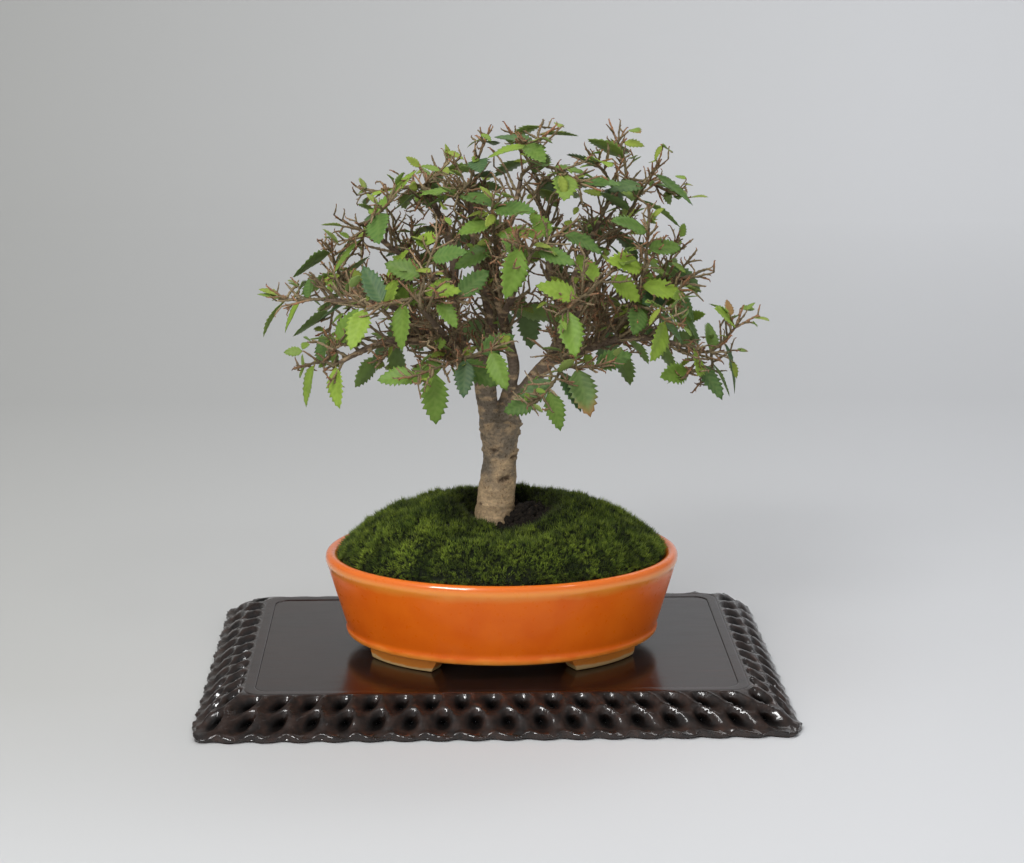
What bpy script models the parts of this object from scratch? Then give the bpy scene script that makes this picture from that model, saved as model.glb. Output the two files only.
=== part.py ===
"""Zelkova bonsai in broom style, in an oval glazed pot on a carved openwork stand.

Every size below is in millimetres, and MM turns it into the scene's metres. +X runs to the right
along the stand's long side, -Y is the front and +Z is up. The origin is the centre of the stand's
underside.
"""

import math
import random

import bmesh
import bpy
from mathutils import Matrix, Vector
from mathutils.bvhtree import BVHTree

MM = 0.001
GAP = 0.3  # between pieces that rest on or in each other
SEED = 7
SHARP_ANGLE = 40  # degrees between faces, past which their edge is shown sharp

# The stand: a carved border round a flat panel
STAND_LENGTH = 266
STAND_DEPTH = 180
STAND_CORNER = 9
BORDER_RUN = 20  # from the outer edge in to the raised bead
BORDER_RISE = 14.5
BORDER_WALL = 4
BORDER_CELLS = 58  # pairs of holes round the border
BORDER_CORNERS = 11  # corners of one cell
HOLE_HALF_WIDTH = 0.25  # as a share of a cell
UPPER_HOLES = (68, 11)  # middle and half height, in degrees up the border's quarter ellipse
LOWER_HOLES = (37, 12)
BEAD_OUTER = 21  # distances in from the stand's outer edge
BEAD_INNER = 24.5
LEDGE_INNER = 28
BEAD_TOP = 15
LEDGE_TOP = 10.2
LEDGE_BOTTOM = 7.5
PANEL_TOP = 14.2
CORNER_STEPS = 4

# The pot: oval, so a turned profile drawn in along Y
POT_CENTRE = (3.5, -2.4)
POT_OVAL = 0.743  # half depth over half length
POT_STEPS = 28
POT_FLOOR = 27.5
RIM_TOP = 61.6
BODY_BOTTOM = 21.5
# Half length and height of the wall: up the inside, then from the rim down the outside
POT_INSIDE = ((62, POT_FLOOR), (69, 35), (74, 50), (76.6, 59.6))
POT_OUTSIDE = ((79.4, RIM_TOP), (82.0, 60.6), (82.5, 57.5), (81.2, 53.8), (79.1, 46), (75.6, 35),
               (73.0, 25), (72.2, 22.6), (70.2, BODY_BOTTOM))
UNDERSIDE_EDGE = 63  # half length of the underside, which is set up inside a low rim
UNDERSIDE = BODY_BOTTOM + 1
FOOT_BOTTOM = PANEL_TOP + GAP
FOOT_TOP = BODY_BOTTOM + 1.5
FOOT_RING = 67  # half length of the ring that the four feet stand on
FOOT_INSET = 3  # how much further in the ring is at the front and the back
FOOT_WIDTH = 9
FOOT_ARC = (21, 64)  # degrees from the long axis
FOOT_DRAFT = 1.2
FOOT_END_SLOPE = 4.0
FOOT_SECTIONS = 5
DRAIN_RADIUS = 6
DRAIN_SIDES = 10
DRAIN_SPACING = 32  # each hole from the pot's centre
SCREEN_SIDE = 18
SCREEN_THICKNESS = 0.8

# Moss and soil
FILL_HALF_LENGTH = 75.7  # at the rim, just inside the pot's wall
DOME_HEIGHT = 27
DOME_SHAPE = (2.4, 0.75)  # powers that make the dome flat on top and steep at its edge
SADDLE_DEPTH = 0.42  # share of the height taken off where the mound dips in front
SADDLE_CENTRE = (3, -25)
SADDLE_SIZE = (30, 22)
LUMP_HEIGHT = 0.9
HEAP_HEIGHT = 5  # of the heap of bare soil beside the trunk
HEAP_CENTRE = (17, 5)
HEAP_SIZE = (10, 9)
CRATER_CENTRE = (7, -1)
CRATER_SIZE = (27, 20)
CRATER_FLOOR = 72.5
CRATER_SLOPE = (0.5, 1.05)  # where its side starts and ends, as shares of its size
MOSS_EDGE = 0.69  # where the moss ends, as a share of the crater's size
MOSS_THICKNESS = 4
MOSS_EDGE_THICKNESS = 1.2  # where it thins out at the pot's rim
MOSS_EDGE_DROP = 1.5  # below the rim's top
SOIL_CLEARANCE = 0.6  # to the pot's wall
TRUNK_CLEARANCE = 0.4
MOSS_TOP_RINGS = (0, 0.14, 0.34, 0.64, 0.9, 1)
MOSS_UNDER_RINGS = (1, 0.9, 0.34, 0)
CRATER_RINGS = (-0.012, -0.09)  # soil inside the moss, lying open
OPEN_SOIL_DROP = 0.4

# The crown: twig tips lie near a dome round the fork
CROWN_CENTRE = (9, 0, 140)
CROWN_REACH = (112, 75, 129)
CROWN_LOW = 0.02  # sine of the lowest tip's elevation
CROWN_TIPS = 60
CROWN_SHELL = (0.72, 1.0)
TIPS_ON_SPRAY = 3
STRAIGHT_CREDIT = 0.45  # how much less a reach counts when a limb points straight at the tip
CROWN_DEPTH_LIMIT = STAND_DEPTH / 2 - 1.5
CROWN_LENGTH_LIMIT = STAND_LENGTH / 2 - 1.5

TWIG_TIP_RADIUS = 0.55
TWIG_SWELL = 0.2  # how fast a twig's radius grows with the tips that it carries
TWIG_CLEARANCE = 0.35
FORK_AT = 0.42  # share of the way to the tips
FORK_BOW = 0.06  # how far a fork is pushed ahead, as a share of the reach
BEND_AT = 0.5
BEND_BOW = 0.08
SPRAY_GAP = 0.4  # between a spray's foot and the limb's side
TWIG_HEEL = 2.5  # a spray's first stretch, straight away from its limb
SPRAY_TRIES = 12
SHAKE = 2.0  # how much further its tips may move at each try
LEAF_THICKNESS = 0.7
LEAF_LENGTH = (19, 26)
LEAF_WIDTH = 0.56  # of its length
LEAF_FOLD = 0.2  # rise across each half of the blade
LEAF_PLACES = (1.2, 9.5, 18, 26.5)  # back along a twig from its tip
LEAF_ROOT = 0.45  # half width where a leaf leaves its twig
LEAF_MARGIN = 2.5 * LEAF_ROOT  # from a leaf to the nearest bend of its twig
LEAF_LEAN = 55  # degrees from the twig's direction
LEAF_TURNS = (0, 20, -15, 40, 60, 85)  # more lean, tried one after another
LEAF_RISE = 0.35  # how far faces turn up from facing straight out of the crown
LEAF_DROOP = 0.5
LEAF_TILT = 0.4
LEAF_CLEARANCE = 1.3  # thickness that a leaf is given when it is tested against its neighbours
LEAF_FREE_FROM = 2.2  # from the twig's middle, past which a leaf may touch nothing
# Half outline of a leaf: a tooth, the cut behind it and a second tooth, as shares of width and length
LEAF_SIDE = ((0.50, 0.37), (0.35, 0.47), (0.38, 0.69))

# Trunk and limbs: x, y, z and radius of points along each, in the order they grow
TRUNK = ((0.3, 0, 48, 11.5), (0.3, 0, 62, 10.6), (0.3, 0, 73, 9.6), (0.8, 0, 84, 9.0), (1.8, 0, 94, 8.4),
         (2.6, 0, 104, 7.9), (2.8, 0, 112, 8.3), (3.0, 0, 119, 9.2), (3.0, 0, 123, 8.0))
LIMBS = {
    "left_stem": ((-0.5, 0, 114, 6.2), (-2.4, 0, 126, 4.9), (-3.9, 0, 137, 5.1), (-5, 0, 147, 4.6)),
    "left": ((-5, 0, 144, 3.8), (-12, -4, 149, 3.2), (-21, -8, 155, 2.9), (-31, -12, 163, 2.6),
             (-38, -16, 174, 2.2), (-48, -20, 181, 1.9), (-62, -24, 182.5, 1.6), (-76, -26, 184, 1.2)),
    "low_left": ((-31, -12, 163, 2.2), (-44, -21, 164, 1.8), (-57, -26, 162, 1.5), (-70, -30, 156, 1.1)),
    "back_left": ((-21, -8, 155, 2.5), (-33, 8, 165, 2.2), (-49, 24, 175, 1.8), (-64, 34, 183, 1.2)),
    "centre_left": ((-5, 0, 145, 4.0), (-4, 2, 151, 3.7), (-1.5, 4, 158, 3.2), (-1, 6, 166, 3.0),
                    (-3, 9, 178, 2.6), (-7, 9, 192, 2.2), (-9, 6, 207, 1.8), (-11, 2, 226, 1.2)),
    "rising_left": ((-6, 0, 146, 3.8), (-12, 1, 151, 3.4), (-17, 4, 163, 3.1), (-19, 8, 180, 2.7),
                    (-18, 10, 196, 2.2), (-22, 12, 211, 1.7), (-30, 12, 226, 1.2)),
    "fan_left": ((-19, 8, 180, 2.2), (-32, 5, 192, 1.9), (-45, 1, 202, 1.5), (-58, -4, 213, 1.1)),
    "front_left": ((-12, -4, 149, 2.5), (-18, -20, 160, 2.1), (-25, -36, 172, 1.7), (-32, -50, 184, 1.1)),
    "centre": ((5, 3, 116, 4.6), (3.6, 4, 126, 3.2), (6.6, 4, 135, 3.0), (9.2, 0, 147, 2.8),
               (6.6, -1, 160, 2.6), (4, -5, 172, 2.4), (0.5, -8, 189, 2.1), (1.5, -8, 204, 1.9),
               (8, -6, 217, 1.6), (12, -4, 234, 1.1)),
    "front": ((4, -5, 172, 2.0), (7, -20, 182, 1.7), (9, -36, 192, 1.4), (12, -50, 202, 1.0)),
    "back": ((-1, 6, 166, 2.4), (0, 22, 175, 2.0), (-4, 38, 186, 1.6), (-9, 52, 198, 1.1)),
    "right_stem": ((6, 0, 115, 5.6), (8.3, 0, 129, 4.2), (13.9, -1, 136, 3.8), (20.2, -3, 145, 3.5),
                   (27, -5, 153, 3.1)),
    "rising_right": ((26, -5, 152, 3.0), (30, 0, 160, 2.8), (33, 4, 169, 2.6), (36, 8, 182, 2.3),
                     (42, 10, 198, 1.9), (49, 10, 214, 1.3)),
    "back_right": ((30, 0, 160, 2.4), (43, 13, 167, 2.1), (58, 24, 175, 1.7), (74, 33, 181, 1.2)),
    "high_back": ((33, 4, 169, 2.2), (27, 16, 185, 1.9), (26, 24, 202, 1.6), (22, 28, 220, 1.1)),
    "right": ((26, -5, 152, 2.8), (34.5, -10, 154, 2.4), (43, -14, 159, 2.2), (56, -18, 164, 1.9),
              (68, -21, 165, 1.6), (84, -24, 162, 1.2)),
    "fan_right": ((43, -14, 159, 2.1), (57, -12, 174, 1.8), (73, -10, 184, 1.5), (89, -8, 191, 1.1)),
    "front_right": ((26, -5, 152, 2.5), (30, -22, 164, 2.1), (34, -37, 176, 1.7), (38, -50, 188, 1.1)),
}
# The first point of a limb that a spray may grow from, where that isn't point 1
FIRST_SPRAY_POINT = {"left": 4, "centre_left": 4, "rising_left": 3, "centre": 6, "rising_right": 3,
                     "right": 3}
STEMS = ("left_stem", "right_stem")

COLOURS = {
    "lacquered_wood": ((0.035, 0.017, 0.012), 0.28),
    "panel_wood": ((0.045, 0.024, 0.017), 0.22),
    "orange_glaze": ((0.80, 0.20, 0.025), 0.18),
    "moss": ((0.055, 0.11, 0.018), 0.9),
    "soil": ((0.028, 0.02, 0.014), 0.95),
    "bark": ((0.23, 0.16, 0.11), 0.85),
    "leaf": ((0.11, 0.24, 0.035), 0.5),
    "screen_plastic": ((0.02, 0.02, 0.02), 0.6),
}


def material(name):
    """A Principled material of that name's colour and roughness."""
    found = bpy.data.materials.get(name)
    if found:
        return found
    colour, roughness = COLOURS[name]
    made = bpy.data.materials.new(name)
    made.use_nodes = True
    shader = made.node_tree.nodes["Principled BSDF"]
    shader.inputs["Base Color"].default_value = (*colour, 1)
    shader.inputs["Roughness"].default_value = roughness
    shader.inputs["Metallic"].default_value = 0
    made.diffuse_color = (*colour, 1)
    return made


def clear_scene():
    for old in list(bpy.data.objects):
        bpy.data.objects.remove(old, do_unlink=True)
    parts = bpy.data.collections.new("zelkova_bonsai")
    workshop = bpy.data.collections.new("workshop")
    bpy.context.scene.collection.children.link(parts)
    bpy.context.scene.collection.children.link(workshop)
    return parts, workshop


PARTS, WORKSHOP = clear_scene()


def new_object(name, data, collection=None):
    made = bpy.data.objects.new(name, data)
    (collection or WORKSHOP).objects.link(made)
    return made


def mesh_from(name, points, faces, collection=None):
    """A mesh object from points in millimetres, with its faces turned to point out."""
    shape = bmesh.new()
    corners = [shape.verts.new(Vector(p) * MM) for p in points]
    for face in faces:
        shape.faces.new([corners[i] for i in face])
    bmesh.ops.triangulate(shape, faces=shape.faces)
    bmesh.ops.recalc_face_normals(shape, faces=shape.faces)
    data = bpy.data.meshes.new(name)
    shape.to_mesh(data)
    shape.free()
    return new_object(name, data, collection)


def evaluated_copy(thing, weld=1e-6):
    """The object's mesh with its modifiers, or a curve's tube, as a welded mesh in world space."""
    bpy.context.view_layer.update()
    graph = bpy.context.evaluated_depsgraph_get()
    data = bpy.data.meshes.new_from_object(thing.evaluated_get(graph))
    data.transform(thing.matrix_world)
    shape = bmesh.new()
    shape.from_mesh(data)
    bmesh.ops.remove_doubles(shape, verts=shape.verts, dist=weld)
    shape.to_mesh(data)
    shape.free()
    return data


def main_body(data):
    """Keeps the largest connected piece of a mesh and drops loose scraps."""
    shape = bmesh.new()
    shape.from_mesh(data)
    left, bodies = set(shape.verts), []
    while left:
        stack, body = [next(iter(left))], set()
        while stack:
            vert = stack.pop()
            if vert in body:
                continue
            body.add(vert)
            stack.extend(edge.other_vert(vert) for edge in vert.link_edges)
        left -= body
        bodies.append(body)
    largest = max(bodies, key=len)
    bmesh.ops.delete(shape, geom=[v for v in shape.verts if v not in largest], context="VERTS")
    shape.to_mesh(data)
    shape.free()


def finished(name, data, colour):
    """Places a finished mesh in the model as one named, coloured piece."""
    data.name = name
    data.materials.clear()
    data.materials.append(material(colour))
    data.shade_smooth()
    data.set_sharp_from_angle(angle=math.radians(SHARP_ANGLE))
    return new_object(name, data, PARTS)


def united(name, pieces, colour, solver="MANIFOLD"):
    """Joins mesh objects into one body and removes them."""
    first, rest = pieces[0], pieces[1:]
    others = bpy.data.collections.new(name + "_joined")
    bpy.context.scene.collection.children.link(others)
    for piece in rest:
        WORKSHOP.objects.unlink(piece)
        others.objects.link(piece)
    if rest:
        union = first.modifiers.new("join", "BOOLEAN")
        union.operation = "UNION"
        union.operand_type = "COLLECTION"
        union.collection = others
        union.solver = solver
    data = evaluated_copy(first, weld=1e-9)
    for piece in [first, *rest]:
        bpy.data.objects.remove(piece, do_unlink=True)
    bpy.data.collections.remove(others)
    main_body(data)
    return finished(name, data, colour)


def cut(target, cutters):
    """Takes the cutters away from a mesh object and removes them."""
    for cutter in cutters:
        cutter.hide_render = True
        cutter.display_type = "WIRE"
        difference = target.modifiers.new("cut", "BOOLEAN")
        difference.operation = "DIFFERENCE"
        difference.object = cutter
    data = evaluated_copy(target)
    for thing in [target, *cutters]:
        bpy.data.objects.remove(thing, do_unlink=True)
    return data


def tube(points, resolution, swell=0.0):
    """A round tapering tube as a mesh object. points are x, y, z and radius; swell adds to the radius."""
    curve = bpy.data.curves.new("tube", "CURVE")
    curve.dimensions = "3D"
    curve.bevel_depth = MM
    curve.bevel_resolution = resolution
    curve.use_fill_caps = True
    spline = curve.splines.new("POLY")
    spline.points.add(len(points) - 1)
    for target, (x, y, z, radius) in zip(spline.points, points):
        target.co = (x * MM, y * MM, z * MM, 1)
        target.radius = radius + swell
    guide = new_object("tube", curve)
    data = evaluated_copy(guide)
    bpy.data.objects.remove(guide, do_unlink=True)
    shape = bmesh.new()
    shape.from_mesh(data)
    bmesh.ops.triangulate(shape, faces=shape.faces)
    bmesh.ops.recalc_face_normals(shape, faces=shape.faces)
    shape.to_mesh(data)
    shape.free()
    return new_object("tube", data)


def bridge(rings, closed_round):
    """Quads between neighbouring rings of points, and between the last and the first if closed_round."""
    count = len(rings[0])
    points = [p for ring in rings for p in ring]
    faces = []
    spans = len(rings) if closed_round else len(rings) - 1
    for row in range(spans):
        low, high = row * count, (row + 1) % len(rings) * count
        for k in range(count):
            after = (k + 1) % count
            faces.append((low + k, low + after, high + after, high + k))
    if not closed_round:
        faces.append(tuple(range(count)))
        faces.append(tuple(range((len(rings) - 1) * count, len(rings) * count)))
    return points, faces


def stand_path(share, inset):
    """A point of the stand's rounded rectangle in plan, drawn in by inset. share runs once round."""
    half_x, half_y, r = STAND_LENGTH / 2, STAND_DEPTH / 2, STAND_CORNER
    straight_x, straight_y, arc = 2 * (half_x - r), 2 * (half_y - r), math.pi / 2 * r
    left = share % 1 * 2 * (straight_x + straight_y + 2 * arc)
    turn, corner = 0, (half_x - r, -half_y + r)
    for quarter in range(4):
        run = straight_x if quarter % 2 == 0 else straight_y
        turn = quarter * math.pi / 2
        corner_x = (half_x - r) * (1 if quarter in (0, 1) else -1)
        corner_y = (half_y - r) * (-1 if quarter in (0, 3) else 1)
        corner = (corner_x, corner_y)
        if left < run + arc:
            break
        left -= run + arc
    angle = turn - math.pi / 2 + max(0.0, left - run) / r
    back = max(0.0, run - left)
    x = corner[0] - back * math.cos(turn) + r * math.cos(angle)
    y = corner[1] - back * math.sin(turn) + r * math.sin(angle)
    return x * (half_x - inset) / half_x, y * (half_y - inset) / half_y


def path_shares():
    """Shares of the way round, from 0, at the ends of the straight sides and at steps round each corner."""
    r = STAND_CORNER
    runs = (STAND_LENGTH - 2 * r, STAND_DEPTH - 2 * r) * 2
    arc = math.pi / 2 * r
    whole = sum(runs) + 4 * arc
    shares, at = [], 0.0
    for run in runs:
        at += run
        shares += [round((at + arc * i / CORNER_STEPS) / whole, 6) % 1 for i in range(CORNER_STEPS + 1)]
        at += arc
    return sorted(shares)


def border_point(share, degrees, inner):
    """A point on the carved border: its outer or inner quarter ellipse, at a share of the way round."""
    wall = BORDER_WALL if inner else 0
    run, rise = BORDER_RUN - wall, BORDER_RISE - wall
    inset = BORDER_RUN - run * math.cos(math.radians(degrees))
    x, y = stand_path(share, inset)
    return x, y, rise * math.sin(math.radians(degrees))


def border_sheet(shape, inner):
    """One sheet of the border with two staggered rows of holes. Returns its corners and faces."""
    cell = 1 / BORDER_CELLS
    (upper, upper_half), (lower, lower_half) = UPPER_HOLES, LOWER_HOLES
    places = []
    for c in range(BORDER_CELLS):
        a, b, w = c * cell, (c + 0.5) * cell, HOLE_HALF_WIDTH * cell
        places += [(a, 90), (a, upper + upper_half), (a - w, upper), (a + w, upper),
                   (a, upper - upper_half), (b, lower + lower_half), (b - w, lower), (b + w, lower),
                   (b, lower - lower_half), (a, 0), (b, 0)]
    (top, up_top, up_left, up_right, up_low, low_top, low_left, low_right, low_low,
     foot, half_foot) = range(BORDER_CORNERS)
    corners = [shape.verts.new(Vector(border_point(s, d, inner)) * MM) for s, d in places]
    faces = []
    for c in range(BORDER_CELLS):
        here, after, before = (BORDER_CORNERS * (k % BORDER_CELLS) for k in (c, c + 1, c - 1))
        for outline in (
            (here + top, after + top, after + up_top, after + up_left, here + up_right, here + up_top),
            (here + up_right, after + up_left, after + up_low, here + low_right, here + low_top,
             here + low_left, here + up_low),
            (here + up_low, here + low_left, before + low_right),
            (before + low_right, here + low_left, here + low_low, here + half_foot, here + foot,
             before + half_foot, before + low_low),
        ):
            faces.append(shape.faces.new([corners[i] for i in outline]))
    return corners, faces


def stitch(shape, low, high):
    """Triangles between two closed rings, each a list of (share of the way round, corner) from 0 on."""
    def share(ring, k):
        return ring[k % len(ring)][0] + k // len(ring)

    i = j = 0
    while i < len(low) or j < len(high):
        a, b = low[i % len(low)][1], high[j % len(high)][1]
        if i < len(low) and (j == len(high) or share(low, i + 1) <= share(high, j + 1)):
            i += 1
            shape.faces.new((a, low[i % len(low)][1], b))
        else:
            j += 1
            shape.faces.new((a, high[j % len(high)][1], b))


def stand_frame():
    """The pierced border, the bead inside it and the ledge that the panel lies on, carved as one piece."""
    shape = bmesh.new()
    outer, outer_faces = border_sheet(shape, inner=False)
    inner, _ = border_sheet(shape, inner=True)
    twin = dict(zip(outer, inner))
    upper_rim = [outer[BORDER_CORNERS * c] for c in range(BORDER_CELLS)]
    for edge in {edge for face in outer_faces for edge in face.edges if len(edge.link_faces) == 1}:
        a, b = edge.verts
        if a not in upper_rim or b not in upper_rim:
            shape.faces.new((a, b, twin[b], twin[a]))
    section = ((BEAD_OUTER, BEAD_TOP), (BEAD_INNER, BEAD_TOP), (BEAD_INNER, LEDGE_TOP),
               (LEDGE_INNER, LEDGE_TOP), (LEDGE_INNER, LEDGE_BOTTOM))
    rings = [[(c / BORDER_CELLS, vert) for c, vert in enumerate(upper_rim)]]
    for inset, z in section:
        rings.append([(s, shape.verts.new(Vector((*stand_path(s, inset), z)) * MM)) for s in path_shares()])
    rings.append([(s, twin[vert]) for s, vert in rings[0]])
    for low, high in zip(rings, rings[1:]):
        stitch(shape, low, high)
    bmesh.ops.triangulate(shape, faces=shape.faces)
    bmesh.ops.recalc_face_normals(shape, faces=shape.faces)
    data = bpy.data.meshes.new("stand_frame")
    shape.to_mesh(data)
    shape.free()
    finished("stand_frame", data, "lacquered_wood")


def stand_panel():
    """The flat panel, let in inside the bead."""
    edge = BEAD_INNER + GAP
    rings = [[(*stand_path(share, edge), z) for share in path_shares()]
             for z in (LEDGE_TOP + GAP, PANEL_TOP)]
    panel = mesh_from("panel", *bridge(rings, closed_round=False))
    data = evaluated_copy(panel)
    bpy.data.objects.remove(panel, do_unlink=True)
    finished("stand_panel", data, "panel_wood")


def turned(name, profile):
    """A profile turned round the pot's axis and drawn in along Y."""
    data = bpy.data.meshes.new(name)
    points = [(r * MM, 0, z * MM) for r, z in profile]
    data.from_pydata(points, [(i, i + 1) for i in range(len(points) - 1)], [])
    wire = new_object(name, data)
    screw = wire.modifiers.new("turn", "SCREW")
    screw.steps = screw.render_steps = POT_STEPS
    screw.use_merge_vertices = True
    screw.merge_threshold = 0.00001
    solid = evaluated_copy(wire)
    bpy.data.objects.remove(wire, do_unlink=True)
    solid.transform(Matrix.Diagonal((1, POT_OVAL, 1, 1)))
    solid.transform(Matrix.Translation(Vector((*POT_CENTRE, 0)) * MM))
    return new_object(name, solid)


def foot(side_x, side_y):
    """One of four low feet, following the pot's oval, with sloping ends."""
    sections = []
    for i in range(FOOT_SECTIONS):
        along = i / (FOOT_SECTIONS - 1)
        degrees = FOOT_ARC[0] + (FOOT_ARC[1] - FOOT_ARC[0]) * along
        ring = []
        for inward, z in ((0, FOOT_TOP), (FOOT_DRAFT, FOOT_BOTTOM), (FOOT_WIDTH, FOOT_BOTTOM),
                          (FOOT_WIDTH, FOOT_TOP)):
            slope = FOOT_END_SLOPE if z == FOOT_BOTTOM else 0
            angle = math.radians(degrees + slope * (1 - 2 * along))
            x = POT_CENTRE[0] + side_x * (FOOT_RING - inward) * math.cos(angle)
            y = POT_CENTRE[1] + side_y * (FOOT_RING * POT_OVAL - FOOT_INSET - inward) * math.sin(angle)
            ring.append((x, y, z))
        sections.append(ring)
    return mesh_from("foot", *bridge(sections, closed_round=False))


def pot():
    profile = ((0, POT_FLOOR), *POT_INSIDE, *POT_OUTSIDE, (UNDERSIDE_EDGE, UNDERSIDE), (0, UNDERSIDE))
    body = turned("body", profile)
    for side in (-1, 1):
        place = Vector((POT_CENTRE[0] + side * DRAIN_SPACING, POT_CENTRE[1], POT_FLOOR)) * MM
        shape = bmesh.new()
        radius = DRAIN_RADIUS * MM
        bmesh.ops.create_cone(shape, cap_ends=True, segments=DRAIN_SIDES, radius1=radius, radius2=radius,
                              depth=POT_FLOOR * MM, matrix=Matrix.Translation(place))
        data = bpy.data.meshes.new("drain")
        shape.to_mesh(data)
        shape.free()
        body = new_object("body", cut(body, [new_object("drain", data)]))
    feet = [foot(x, y) for x in (-1, 1) for y in (-1, 1)]
    united("pot", [body, *feet], "orange_glaze", solver="EXACT")


def drain_screens():
    """A square of plastic mesh over each drain hole."""
    for side, name in ((-1, "drain_screen_left"), (1, "drain_screen_right")):
        bpy.ops.mesh.primitive_cube_add(size=1)
        plate = bpy.context.object
        plate.scale = Vector((SCREEN_SIDE, SCREEN_SIDE, SCREEN_THICKNESS)) * MM
        plate.location = Vector((POT_CENTRE[0] + side * DRAIN_SPACING, POT_CENTRE[1],
                                 POT_FLOOR + GAP + SCREEN_THICKNESS / 2)) * MM
        data = evaluated_copy(plate)
        bpy.data.objects.remove(plate, do_unlink=True)
        finished(name, data, "screen_plastic")


def smooth(low, high, value):
    t = min(1.0, max(0.0, (value - low) / (high - low)))
    return t * t * (3 - 2 * t)


def bump(x, y, centre, size):
    """1 at the centre, falling off smoothly to 0 past its size."""
    return math.exp(-(((x - centre[0]) / size[0]) ** 2) - ((y - centre[1]) / size[1]) ** 2)


def mound_height(x, y):
    """Height of the moss mound: a steep dome, lower at its front, with a crater round the trunk."""
    half_depth = FILL_HALF_LENGTH * POT_OVAL
    out = math.hypot((x - POT_CENTRE[0]) / FILL_HALF_LENGTH, (y - POT_CENTRE[1]) / half_depth)
    dome = DOME_HEIGHT * max(0.0, 1 - out ** DOME_SHAPE[0]) ** DOME_SHAPE[1]
    saddle = 1 - SADDLE_DEPTH * bump(x, y, SADDLE_CENTRE, SADDLE_SIZE)
    lumps = LUMP_HEIGHT * math.sin(x * 0.19 + 1.3 * math.sin(y * 0.13)) * math.cos(y * 0.23 + 0.6)
    height = RIM_TOP - MOSS_EDGE_DROP + dome * saddle + lumps * min(1.0, dome / 6)
    s = math.hypot((x - CRATER_CENTRE[0]) / CRATER_SIZE[0], (y - CRATER_CENTRE[1]) / CRATER_SIZE[1])
    inside = 1 - smooth(*CRATER_SLOPE, s)
    heap = HEAP_HEIGHT * bump(x, y, HEAP_CENTRE, HEAP_SIZE)
    return height * (1 - inside) + (CRATER_FLOOR + heap) * inside


def mound_ring(share):
    """Plan points of a ring between the crater's moss edge, share 0, and the pot's rim, share 1."""
    ring = []
    for k in range(POT_STEPS):
        angle = 2 * math.pi * k / POT_STEPS
        inner = (CRATER_CENTRE[0] + MOSS_EDGE * CRATER_SIZE[0] * math.cos(angle),
                 CRATER_CENTRE[1] + MOSS_EDGE * CRATER_SIZE[1] * math.sin(angle))
        outer = (POT_CENTRE[0] + FILL_HALF_LENGTH * math.cos(angle),
                 POT_CENTRE[1] + FILL_HALF_LENGTH * POT_OVAL * math.sin(angle))
        ring.append(tuple(inner[i] * (1 - share) + outer[i] * share for i in (0, 1)))
    return ring


def moss():
    """The moss cushion: a ring over the soil from the pot's rim in to the crater."""
    top = [[(x, y, mound_height(x, y)) for x, y in mound_ring(share)] for share in MOSS_TOP_RINGS]
    under = []
    for share in MOSS_UNDER_RINGS:
        depth = MOSS_THICKNESS if share < 1 else MOSS_EDGE_THICKNESS
        under.append([(x, y, mound_height(x, y) - depth) for x, y in mound_ring(share)])
    ring = mesh_from("moss_ring", *bridge(top + under, closed_round=True))
    data = evaluated_copy(ring)
    bpy.data.objects.remove(ring, do_unlink=True)
    finished("moss", data, "moss")


def soil():
    """The soil block, shaped to the pot's inside and the mound, with a plain hole for the trunk."""
    bottom = POT_FLOOR + GAP + SCREEN_THICKNESS + GAP
    walls = [(r - SOIL_CLEARANCE, max(z, bottom)) for r, z in POT_INSIDE[:-1]]
    walls.append((FILL_HALF_LENGTH, RIM_TOP - MOSS_EDGE_THICKNESS - 2 * MOSS_EDGE_DROP))
    rings = [[(POT_CENTRE[0] + r * math.cos(t), POT_CENTRE[1] + r * POT_OVAL * math.sin(t), z)
              for t in (2 * math.pi * k / POT_STEPS for k in range(POT_STEPS))] for r, z in walls]
    drops = [(share, MOSS_THICKNESS + GAP) for share in MOSS_UNDER_RINGS[1:]]
    drops += [(share, OPEN_SOIL_DROP) for share in CRATER_RINGS]
    for share, drop in drops:
        rings.append([(x, y, mound_height(x, y) - drop) for x, y in mound_ring(share)])
    block = mesh_from("block", *bridge(rings, closed_round=False))
    data = cut(block, [tube(TRUNK, 3, swell=TRUNK_CLEARANCE)])
    main_body(data)
    finished("soil", data, "soil")


def tree():
    """Trunk and limbs, which grew as one piece."""
    pieces = [tube(TRUNK, 3)]
    pieces += [tube(points, 2 if name in STEMS else 1) for name, points in LIMBS.items()]
    return united("trunk_and_limbs", pieces, "bark")


def crown_tips():
    """Where the twigs end: spread evenly over a dome, some of them deeper in it."""
    rng = random.Random(SEED)
    golden = math.pi * (3 - math.sqrt(5))
    tips = []
    for i in range(CROWN_TIPS):
        rise = CROWN_LOW + (1 - CROWN_LOW) * (i + 0.5) / CROWN_TIPS
        level = math.sqrt(1 - rise * rise)
        share = rng.uniform(*CROWN_SHELL)
        around = i * golden
        offset = (level * math.cos(around), level * math.sin(around), rise)
        tips.append(Vector(c + reach * share * o for c, reach, o in zip(CROWN_CENTRE, CROWN_REACH, offset)))
    return tips


def spray_seats():
    """Where sprays grow along the limbs: place, limb direction, limb radius and whether it is the end."""
    seats = []
    for name, points in LIMBS.items():
        if name in STEMS:
            continue
        first = FIRST_SPRAY_POINT.get(name, 1)
        last = len(points) - 1
        for i in sorted({*range(last, first - 1, -2), last}):
            place, before = Vector(points[i][:3]), Vector(points[i - 1][:3])
            seats.append((place, (place - before).normalized(), points[i][3], i == last))
    return seats


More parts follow.
